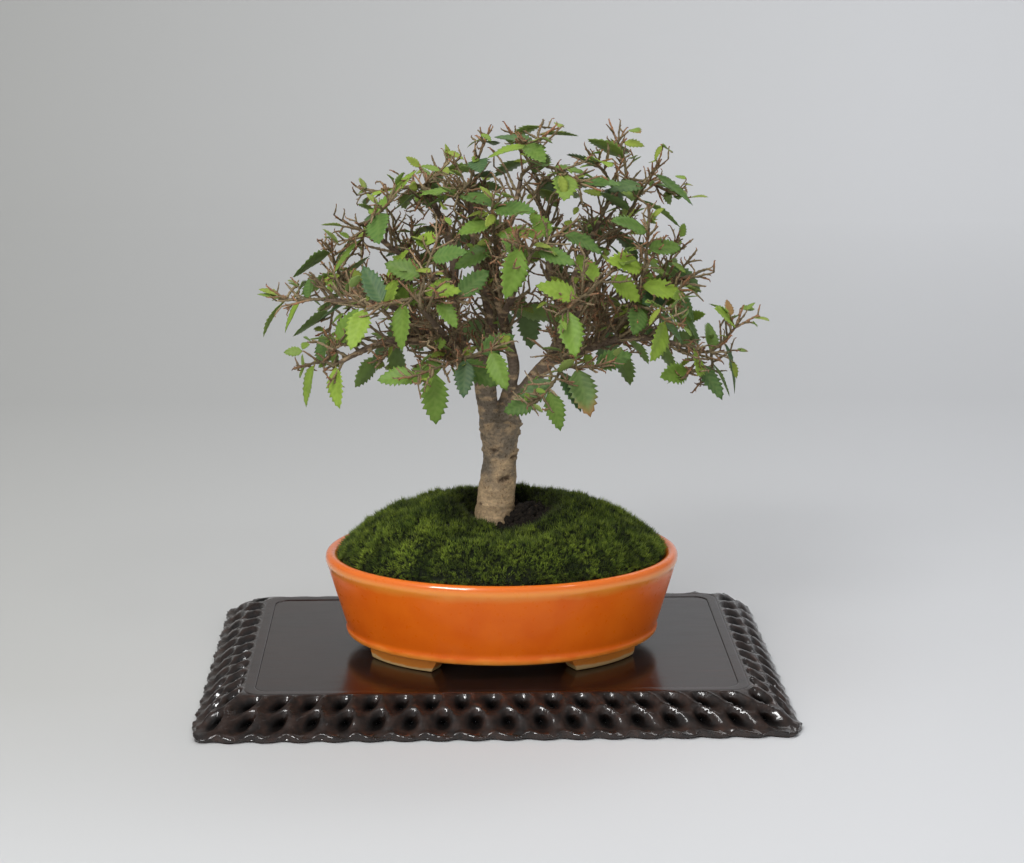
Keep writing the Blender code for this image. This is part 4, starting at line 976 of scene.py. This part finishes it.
def soil_heap():
    """The heap's body, a lens of soil that the crumbs lie on, as points and faces."""
    points = []
    n = PILE_STEPS
    for top in (True, False):
        for ring in range(1, PILE_RINGS + 1):
            share = 2.0 * ring / PILE_RINGS
            for k in range(n):
                x, y = oval(PILE_CENTRE, PILE_SIZE[0] * share, PILE_SIZE[1] * share, tau * k / n)
                lumps = 0.9 * rough(x, y, 2, 0.45) + 0.4 * rough(x, y, 3, 1.1)
                points.append((x, y, soil_level(x, y) + lumps - 0.5 if top and ring < PILE_RINGS
                               else mound_height(x, y) - PILE_SINK))
    hub, half, rim = len(points), len(points) // 2, len(points) // 2 - n
    low = mound_height(*PILE_CENTRE) - PILE_SINK
    points += [(*PILE_CENTRE, soil_level(*PILE_CENTRE)), (*PILE_CENTRE, low)]
    faces = fan(hub, 0, n) + grid(PILE_RINGS, n, flipped=True)
    under = fan(hub + 1, half, n) + grid(PILE_RINGS, n, flipped=True, start=half)
    faces += [tuple(reversed(face)) for face in under]
    return points, faces + [(a, half + a, half + b, b) for _, a, b in fan(hub, rim, n)]


def soil_crumbs():
    """Crumbs of dark soil in the crater, on the packed soil block, and the heap against the trunk."""
    rng = random.Random(SEED + 1)
    ball = bmesh.new()
    bmesh.ops.create_icosphere(ball, subdivisions=2, radius=1)
    corners = [vert.co.copy() for vert in ball.verts]
    faces = [tuple(vert.index for vert in face.verts) for face in ball.faces]
    ball.free()
    shape = Shape()
    while len(shape.points) < SOIL_CRUMBS * len(corners):
        angle, share = rng.uniform(0, tau), sqrt(rng.random()) * (MOSS_EDGE + 0.03)
        x, y = oval(CRATER_CENTRE, CRATER_SIZE[0] * share, CRATER_SIZE[1] * share, angle)
        if hypot(x - TRUNK[2][0], y) < TRUNK[2][3] + 0.2:
            continue
        size = rng.uniform(0.45, 0.9) + rng.random() ** 5 * 1.3
        centre = Vector((x, y, soil_level(x, y) - 0.3 + size * 0.2))
        stretch = Matrix.Diagonal([rng.uniform(0.75, 1.25) for _ in range(3)])
        seed = Vector((x, y, 7)) * 3
        points = [centre + size * (1 + 0.5 * noise.noise(c * 1.3 + seed)) * (stretch @ c) for c in corners]
        shape.add(points, faces, WHITE)
    shape.add(*soil_heap(), WHITE)
    shape.made("soil_crumbs", [SOIL])


def tube(shape, path, tones, sides, slot=0):
    """Adds a closed tube along a path of (x, y, z, radius), in one colour or one for each point of it."""
    spots = [Vector(p[:3]) for p in path]
    last = len(spots) - 1
    side = (spots[1] - spots[0]).orthogonal()
    turns = [tau * i / sides for i in range(sides)]
    points = []
    for k, spot in enumerate(spots):
        along = (spots[min(k + 1, last)] - spots[max(k - 1, 0)]).normalized()
        side = (side - side.dot(along) * along).normalized()
        across = along.cross(side)
        points += [spot + path[k][3] * (cos(t) * side + sin(t) * across) for t in turns]
    if isinstance(tones, list):
        tones = [tone for tone in tones for _ in turns]
    shape.add(points, barrel(len(spots), sides), tones, slot)


def smoothed(route, step):
    """A route of (x, y, z, radius) as a smooth curve with steps of about that length."""
    points = [Vector(p) for p in route]
    padded = [points[0] * 2 - points[1], *points, points[-1] * 2 - points[-2]]
    curve = []
    for before, a, b, after in zip(padded, padded[1:], padded[2:], padded[3:]):
        count = max(1, round((b - a).xyz.length / step))
        for t in (k / count for k in range(count)):
            curve.append(0.5 * (2 * a + (b - before) * t + (2 * before - 5 * a + 4 * b - after) * t * t
                                + (3 * a - before - 3 * b + after) * t ** 3))
    return [*curve, points[-1]]


def bark_tone(point):
    """Tan on the low trunk, greyer up to the fork and brown along the limbs."""
    x, y, z = point
    patch = 0.5 + 0.5 * noise.fractal(point * 0.11, 1, 2, 4)
    rings = 0.5 + 0.5 * rough(x * 0.06, y * 0.06, z * 0.3)
    tan = smooth(0.3, 0.7, 0.75 * patch + 0.25 * rings + 0.28 * smooth(112, 78, z) - 0.06)
    high = blend(BARK_GREY, BARK_BROWN, smooth(118, 165, z))
    high = blend(high, BARK_TAN, 0.75 * smooth(0.12, 0.34, rough(x * 0.2, y * 0.2, z * 0.55 + 40)))
    return blend(blend(BARK_GREY, BARK_TAN, tan), high, smooth(108, 126, z))


def soften_fork(data):
    """Rounds off the meeting of trunk and stems, and lightly the whole skin."""
    count = len(data.vertices)
    spots = np.empty(count * 3)
    data.vertices.foreach_get("co", spots)
    spots = spots.reshape(-1, 3)
    ends = np.empty(len(data.edges) * 2, np.int64)
    data.edges.foreach_get("vertices", ends)
    a, b = ends.reshape(-1, 2).T
    links = np.bincount(ends, minlength=count)
    z = spots[:, 2] / MM
    fork = np.clip((z - FORK_SPAN[0]) / 8, 0, 1) * np.clip((FORK_SPAN[1] - z) / 8, 0, 1)
    for turn in range(FORK_SMOOTHING):
        pull = fork if turn >= 3 else np.maximum(fork, 0.6)
        for axis in range(3):
            near = np.bincount(a, spots[b, axis], count) + np.bincount(b, spots[a, axis], count)
            spots[:, axis] += 0.6 * pull * (near / links - spots[:, axis])
    data.vertices.foreach_set("co", spots.ravel())
    data.update()


def bark_point(point, normal):
    """A point of the bare skin moved out or in to its wrinkle, knob or scar, and its colour."""
    on_trunk = smooth(150, 112, point.z) * smooth(22, 12, abs(point.x - 2))
    wrinkle = rough(point.x * 0.16, point.y * 0.16, point.z * 0.62 + 5)
    height = 0.5 * noise.fractal(point * 0.16, 1, 2, 4) * on_trunk + 0.26 * wrinkle * on_trunk
    height += (0.1 + 0.14 * on_trunk) * noise.fractal(point * 0.75, 1, 2, 3)
    tone = scaled(bark_tone(point), 1 + 0.22 * wrinkle * on_trunk)
    front = smooth(4, 0, point.y)
    ragged = 0.9 * noise.noise(point * 0.8)
    for x, z, radius, rise in KNOTS:
        off = hypot(point.x - x, (point.z - z) * KNOT_FLATNESS) / radius + ragged
        near = exp(-1.5 * off * abs(off)) * front
        height += rise * min(1, near)
        if rise < 0:
            lip = exp(-((off - 1.3) / 0.35) ** 2) * front
            height += 0.45 * lip
            tone = blend(blend(tone, BARK_TAN, 0.6 * lip), BARK_DARK, min(0.9, near))
        else:
            tone = blend(tone, BARK_TAN, 0.5 * min(1, near))
    return (point + normal * height) * MM, tone


def tree():
    """Trunk and limbs in one skin, with wrinkled bark, knobs and scars."""
    bare = Shape()
    tube(bare, smoothed(TRUNK, 2), WHITE, 28)
    for name, route in LIMBS.items():
        tube(bare, smoothed(route, 2), WHITE, 18 if name in STEMS else 12)
    block = plain_object(bare.points, bare.faces)
    step = block.modifiers.new("skin", "REMESH")
    step.mode = "VOXEL"
    step.voxel_size = BARK_VOXEL * MM
    data = applied("trunk_and_limbs_bark", block)
    soften_fork(data)
    moved, tones = zip(*[bark_point(vert.co / MM, vert.normal) for vert in data.vertices])
    data.vertices.foreach_set("co", np.array(moved).ravel())
    piece = dressed("trunk_and_limbs_bark", data, [BARK], tones)
    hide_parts("trunk_and_limbs")


def leaf_width(t):
    """Half the width of a leaf so far from its base, as a share of its whole width."""
    return 0.5 * sin(pi * min(1, max(0, t)) ** 0.75) ** 0.85


def leaf(shape, where, length, teeth, columns, tone, rng):
    """A toothed blade on a stalk: folded at its midrib, wavy between its veins, as a thin closed shell."""
    width = length * LEAF_WIDTH
    rows = [(0.09, 0.02, 0)]
    for i in range(teeth):
        t = 0.12 + 0.8 * (i + 0.5) / teeth
        rows.append((leaf_width(t) * rng.uniform(0.95, 1.02), t + 0.035, 1))
        rows.append((leaf_width(t + 0.05) * rng.uniform(0.69, 0.75), t + 0.055, 0))
    arch, twist, wave = rng.uniform(0.02, 0.16), rng.uniform(-0.2, 0.2), rng.uniform(0, 6)
    scorch = rng.random() < 0.06
    vein_tone, under = blend(tone, srgb(190, 200, 120), 0.08), blend(tone, srgb(138, 156, 104), 0.4)
    upper, lower, tones = [], [], []

    def add(across, along, level, vein, edge):
        rise = LEAF_FOLD * abs(across) * width - arch * length * along ** 2 + twist * across * width * along
        rise += level * length + 0.012 * length * sin(wave + 9 * along) * abs(across) * 2
        start = Vector((across * width, (0.07 + 0.93 * along) * length, rise))
        half = UP * (LEAF_THICKNESS * (0.5 if edge else 1) / 2)
        upper.append(where @ (start + half))
        lower.append(where @ (start - half))
        shade = vein_tone if vein else scaled(tone, 0.96)
        if scorch:
            shade = blend(shade, srgb(150, 104, 62), smooth(0.7, 1.05, along + abs(across) * 0.5))
        tones.append(shade)

    for across, along, vein in rows:
        root = max(0.0, along - 0.47 * across)
        for c in range(-columns, columns + 1):
            share = abs(c) / columns
            level = 0.008 * sin(pi * min(share, 0.85)) * (-1 if vein else 1)
            add(copysign(across * share, c), root + (along - root) * share, level, vein or c == 0, share == 1)
    add(0, 1, 0, 0, True)
    n = 2 * columns + 1
    tip = len(rows) * n
    faces = grid(len(rows), n, closed=False) + [(c, c + 1, tip) for c in range(tip - n, tip - 1)]
    outline = [*range(n), *range(2 * n - 1, tip, n), tip, *range(tip - n, 0, -n)]
    shape.add(upper + lower, shell(faces, zip(outline, outline[1:] + outline[:1]), tip + 1),
              tones + [under] * len(lower))
    stalk = [(*(where @ Vector((0, y * length, 0))), 0.3 * length / 22 + 0.08) for y in (-0.02, 0.05, 0.11)]
    tube(shape, stalk, blend(RED_TONE, tone, 0.4), 5)


def within(point):
    return all(abs(value) < limit for value, limit in zip(point, CROWN_LIMITS))


def bud(shape, place, heading, side, rng):
    """A small pointed bud on the side of a twig."""
    out = (heading * 0.7 + side).normalized()
    length = BUD_LENGTH * rng.uniform(0.7, 1.25)
    across = out.orthogonal().normalized()
    other = out.cross(across)
    ring = [place + out * length * 0.35 + 0.34 * (cos(t) * across + sin(t) * other)
            for t in (tau * k / 4 for k in range(4))]
    faces = [(0, b, a) for _, a, b in fan(0, 1, 4)] + fan(5, 1, 4)
    tone = blend(BUD_TONE, RED_TONE, rng.random())
    shape.add([place, *ring, place + out * length], faces, [scaled(tone, 0.7)] + [tone] * 5, 1)


def shoot(shape, base, heading, length, rng, forks=1, leafy=LEAFY_SHARE, radius=SHOOT_RADIUS):
    """A thin zigzag shoot with buds at its nodes, now and then small leaves, and side shoots of its own."""
    heading = heading.normalized()
    zig = Matrix.Rotation(rng.uniform(0, tau), 3, heading) @ heading.orthogonal().normalized()
    steps = max(2, round(length / SHOOT_NODES))
    spots, sides = [base], [zig]
    for k in range(steps):
        side = zig if k % 2 else -zig
        heading = (heading + side * ZIGZAG + scatter(rng, 0.1) + UP * 0.02).normalized()
        spots.append(spots[-1] + heading * length / steps)
        sides.append(side)
    if not all(within(spot) for spot in spots):
        return
    path, tones = [], []
    red = rng.random() ** 2 * (1 if radius < SHOOT_RADIUS * 1.1 else 0.2)
    wood = blend(TWIG_TONE, OLD_TWIG_TONE, 0.7 * rng.random() ** 2)
    for k, spot in enumerate(spots):
        thick = radius * (1.1 - 0.4 * k / steps)
        path.append((*spot, thick * (1.3 if 0 < k < steps else 1)))
        if k < steps:
            path.append((*spot.lerp(spots[k + 1], 0.5), thick * 0.85))
        tones += [blend(wood, RED_TONE, min(1, red * k / steps * 1.6))] * (2 if k < steps else 1)
    tube(shape, path, tones, 4, 1)
    nodes = [(spots[k], (spots[k] - spots[k - 1]).normalized(), sides[k]) for k in range(1, steps + 1)]
    for spot, along, side in nodes:
        if rng.random() < BUD_SHARE:
            bud(shape, spot, along, side, rng)
        if forks and rng.random() < FORK_SHARE:
            turned = along * 0.6 + side * 0.9 + UP * 0.25
            shoot(shape, spot, turned, rng.uniform(3, 7), rng, forks - 1, leafy * 0.6, radius * 0.8)
    if rng.random() < leafy:
        for spot, along, side in rng.sample(nodes, min(steps, rng.choice((1, 1, 2)))):
            where = leaf_frame(spot, along * 0.6 + side * 0.8, UP + scatter(rng, 0.8))
            size = rng.uniform(*YOUNG_LEAF_LENGTH)
            if within(where @ Vector((0, size, 0))):
                tone = rng.choice(YOUNG_TONES[:2] if rng.random() < 0.9 else YOUNG_TONES)
                leaf(shape, where, size, 5, 2, tone, rng)


def leaf_frame(base, along, normal):
    """A matrix that sets a leaf at base, pointing along, with its upper face turned to normal."""
    z = normal.normalized()
    y = (along - along.dot(z) * z).normalized()
    return Matrix.Translation(base) @ Matrix((y.cross(z), y, z)).transposed().to_4x4()


def crown_tips():
    """Where the twigs end: spread evenly over a dome, some of them deeper in it."""
    rng = random.Random(SEED)
    golden = pi * (3 - sqrt(5))
    tips = []
    for i in range(CROWN_TIPS):
        rise = CROWN_LOW + (1 - CROWN_LOW) * (i + 0.5) / CROWN_TIPS
        level = sqrt(1 - rise * rise)
        share = rng.uniform(*CROWN_SHELL)
        offset = (level * cos(i * golden), level * sin(i * golden), rise)
        tips.append(Vector([c + reach * share * o for c, reach, o in zip(CROWN_CENTRE, CROWN_REACH, offset)]))
    return tips


def spray_seats():
    """Where sprays grow along the limbs: place, limb direction, limb radius and whether it is the end."""
    seats = []
    for name, points in LIMBS.items():
        if name in STEMS:
            continue
        last = len(points) - 1
        for i in sorted({*range(last, FIRST_SPRAY_POINT.get(name, 1) - 1, -2), last}):
            place, before = Vector(points[i][:3]), Vector(points[i - 1][:3])
            seats.append((place, (place - before).normalized(), points[i][3], i == last))
    return seats


def share_out(tips, seats):
    """Gives each tip to the seat that reaches it best, with at most TIPS_ON_SPRAY on a seat."""
    costs = []
    for t, tip in enumerate(tips):
        for s, (place, heading, _, _) in enumerate(seats):
            reach = tip - place
            costs.append((reach.length - STRAIGHT_CREDIT * reach.dot(heading), t, s))
    given, held = set(), {s: [] for s in range(len(seats))}
    for _, t, s in sorted(costs):
        if t not in given and len(held[s]) < TIPS_ON_SPRAY:
            given.add(t)
            held[s].append(tips[t])
    return held


def halves(tips, heading):
    """Splits tips in two across the direction in which they spread most."""
    centre = sum(tips, Vector()) / len(tips)
    widest = max(((t - centre) for t in tips), key=lambda v: (v - v.dot(heading) * heading).length)
    ordered = sorted(tips, key=lambda t: (t - centre).dot(widest))
    middle = len(ordered) // 2
    return ordered[:middle], ordered[middle:]


def grow(path, heading, tips, twigs):
    """Twigs out to every tip. path is the twig so far: it goes on to one half and the other forks off."""
    here = Vector(path[-1][:3])
    reach = sum(tips, Vector()) / len(tips) - here
    if len(tips) == 1:
        bend = here + reach * BEND_AT + heading * reach.length * BEND_BOW
        bend_radius = (path[-1][3] + TWIG_TIP_RADIUS) / 2
        twigs.append([*path, (*bend, bend_radius), (*(here + reach), TWIG_TIP_RADIUS)])
        return
    fork = here + reach * FORK_AT + heading * reach.length * FORK_BOW
    along = (fork - here).normalized()
    straight, side = halves(tips, reach.normalized())
    grow([*path, (*fork, twig_radius(len(straight)))], along, straight, twigs)
    grow([(*fork, twig_radius(len(side)))], along, side, twigs)


def twig_radius(tips):
    """How thick a twig is that carries so many tips."""
    return TWIG_TIP_RADIUS + TWIG_SWELL * sqrt(tips - 0.5)


def routes_on(surface, seat, tips, rng):
    """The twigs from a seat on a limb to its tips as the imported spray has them."""
    place, limb_heading, limb_radius, at_end = seat
    thick = twig_radius(len(tips))
    best = []
    for shake in range(SPRAY_TRIES):
        moved = [tip + scatter(rng, SHAKE, shake) for tip in tips]
        heading = (sum(moved, Vector()) / len(moved) - place).normalized()
        if at_end:
            start, away = place + limb_heading * GAP, limb_heading
        else:
            away = (heading - heading.dot(limb_heading) * limb_heading).normalized()
            start = place + away * (limb_radius + SPRAY_GAP)
        twigs = []
        grow([(*start, thick), (*(start + away * TWIG_HEEL), thick)], heading, moved, twigs)
        packed = [points for points in twigs if surface.find_nearest(Vector(points[-1][:3]))[3] < ON_NODE]
        if len(packed) > len(best):
            best = packed
    return best


def place_on_twig(points, back):
    """The place so far back along a twig from its tip, with its direction there, or None."""
    for k in range(len(points) - 1, 0, -1):
        end, start = Vector(points[k][:3]), Vector(points[k - 1][:3])
        length = (end - start).length
        if back < length:
            margin = min(LEAF_MARGIN, length / 2)
            back = min(max(back, margin), length - margin)
            return end.lerp(start, back / length), (end - start).normalized()
        back -= length
    return None


def leaves_on(surface, points, rng):
    """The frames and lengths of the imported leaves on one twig."""
    leaves = []
    side = rng.choice((-1, 1))
    for back in LEAF_PLACES:
        side = -side
        spot = place_on_twig(points, back)
        if not spot:
            continue
        place, heading = spot
        out = Vector([p / r ** 2 for p, r in zip(place - Vector(CROWN_CENTRE), CROWN_REACH)])
        out.z = max(0.0, out.z)
        out.normalize()
        length = rng.uniform(*LEAF_LENGTH)
        tilt = scatter(rng, LEAF_TILT)
        across = heading.cross(out + UP).normalized()
        half, level = length * LEAF_WIDTH / 2, 0.37 * length
        fits = []
        for turn in LEAF_TURNS:
            lean = radians(LEAF_LEAN + turn) * side
            along = heading * cos(lean) + across * sin(lean) - UP * LEAF_DROOP
            where = leaf_frame(place, along, out + UP * LEAF_RISE + tilt)
            marks = ((0, length, 0), (half, level, LEAF_FOLD * half), (-half, level, LEAF_FOLD * half))
            fits.append((sum(surface.find_nearest(where @ Vector(mark))[3] for mark in marks), turn, where))
        off, _, where = min(fits)
        if off < 3 * ON_NODE + 0.6:
            leaves.append((where, length))
    return leaves


def knotty(points, rng):
    """A twig's route with a knob at each node, and its colours: brown, redder at the tip."""
    path, tones = [], []
    spots = [Vector(p) for p in points]
    left = sum((b - a).xyz.length for a, b in zip(spots, spots[1:]))
    for a, b in zip(spots, spots[1:]):
        span = (b - a).xyz.length
        count = max(2, round(span / TWIG_NODES))
        count += count % 2
        for k in range(count):
            spot = a.lerp(b, k / count)
            place = spot.xyz + scatter(rng, 0.12) if k else spot.xyz
            path.append((*place, spot.w * (0.88 if k % 2 else 1.22) * rng.uniform(0.92, 1.08)))
            to_tip = left - span * k / count
            tones.append(blend(blend(LIMB_TONE, TWIG_TONE, smooth(70, 30, to_tip)), RED_TONE,
                               0.6 * smooth(9, 0, to_tip)))
        left -= span
    path.append((*points[-1][:3], points[-1][3] * 0.8))
    tones.append(blend(TWIG_TONE, RED_TONE, 0.6))
    return path, tones


def spray(number, surface, place, twigs):
    """One packed spray in fine: knotty twigs, toothed leaves, and shoots with buds and young leaves."""
    node = f"spray_{number:02d}"
    packed_rng = random.Random(SEED * 2000 + number - 1)
    rng = random.Random(SEED * 3000 + number)
    shape = Shape()
    for t, points in enumerate(twigs):
        leaves = leaves_on(surface, points, packed_rng)
        route = points if t else [(*place, points[0][3]), *points]
        tube(shape, *knotty(route, rng), 7, 1)
        for where, length in leaves:
            size = length * rng.uniform(0.86, 1.0)
            leaf(shape, where, size, LEAF_TEETH, 3, leaf_tone(where.translation, rng), rng)
        twiglets(shape, points, rng)
        tip = Vector(points[-1][:3])
        along = (tip - Vector(points[-2][:3])).normalized()
        for turn in (0, 1, 2):
            heading = along + scatter(rng, 0.5, turn) + UP * 0.2
            shoot(shape, tip - along * (0.3 + turn), heading, rng.uniform(6, 13), rng, 1, 0.3)
    piece = shape.made(f"leafy_{node}", [LEAF, TWIG])
    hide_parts(node)


def leaf_tone(place, rng):
    """One of the crown's greens: bluer deep inside, yellower outside."""
    depth = sqrt(sum(((p - c) / r) ** 2 for p, c, r in zip(place, CROWN_CENTRE, CROWN_REACH)))
    pick = rng.random() - 0.3 * (depth - 0.8)
    for tone, share in LEAF_TONES:
        pick -= share
        if pick < 0:
            break
    return scaled(blend(tone, rng.choice(LEAF_TONES)[0], rng.uniform(0, 0.3)), rng.uniform(0.88, 1.1))


def twiglets(shape, points, rng):
    """Side shoots along a twig, on alternate sides."""
    spots = [Vector(p) for p in points]
    side_sign = rng.choice((-1, 1))
    next_at, done = rng.uniform(2, SHOOT_EVERY), 0.0
    for a, b in zip(spots, spots[1:]):
        span = (b - a).xyz.length
        heading = (b - a).xyz.normalized()
        across = heading.cross(UP).normalized()
        while next_at < done + span:
            base = a.lerp(b, (next_at - done) / span).xyz
            turn = Matrix.Rotation(rng.uniform(-0.9, 0.9), 3, heading) @ (across * side_sign)
            out = heading * 0.6 + turn * 0.8 + UP * 0.22
            shoot(shape, base, out, rng.uniform(*SHOOT_REACH), rng)
            side_sign = -side_sign
            next_at += SHOOT_EVERY * rng.uniform(0.7, 1.3)
        done += span


def limb_shoots():
    """The older twigs, nearly leafless, that stand off the limbs inside the crown."""
    rng = random.Random(SEED + 2)
    shape = Shape()
    for name, route in LIMBS.items():
        if name in STEMS:
            continue
        path = smoothed(route, 1)
        next_at = rng.uniform(4, 9)
        for k in range(2, len(path) - 1):
            next_at -= (path[k] - path[k - 1]).xyz.length
            if next_at > 0:
                continue
            next_at = SHOOT_EVERY * rng.uniform(0.5, 1.2)
            spot, heading = path[k].xyz, (path[k + 1] - path[k - 1]).xyz.normalized()
            if spot.z < LIMB_SHOOTS_FROM:
                continue
            outward = (spot - Vector(CROWN_CENTRE)).normalized()
            for _ in range(rng.choice((1, 1, 2))):
                turn = Matrix.Rotation(rng.uniform(0, tau), 3, heading)
                around = turn @ heading.orthogonal().normalized()
                out = heading * 0.45 + around * 0.8 + outward * 0.45 + UP * 0.15
                reach = rng.uniform(*LIMB_SHOOT_REACH)
                shoot(shape, spot + around * path[k].w * 0.5, out, reach, rng, 2, 0.06, OLD_SHOOT_RADIUS)
    shape.made("limb_shoots", [LEAF, TWIG])


def crown():
    """Every packed spray, in the order in which they were numbered."""
    seats = spray_seats()
    held = share_out(crown_tips(), seats)
    for number, s in enumerate((s for s in held if held[s]), 1):
        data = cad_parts[f"spray_{number:02d}"].data
        surface = BVHTree.FromPolygons([vert.co / MM for vert in data.vertices],
                                       [tuple(face.vertices) for face in data.polygons])
        twigs = routes_on(surface, seats[s], held[s], random.Random(SEED * 1000 + s))
        spray(number, surface, seats[s][0], twigs)


def dress_nodes():
    """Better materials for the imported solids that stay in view."""
    for name, look in (("soil", SOIL), ("drain_screen_left", SCREEN), ("drain_screen_right", SCREEN)):
        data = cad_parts[name].data
        data.materials.clear()
        data.materials.append(look)


camera()
studio()
dress_nodes()
stand()
pot()
moss_bed()
moss_shoots()
soil_crumbs()
tree()
limb_shoots()
crown()
bpy.context.view_layer.update()
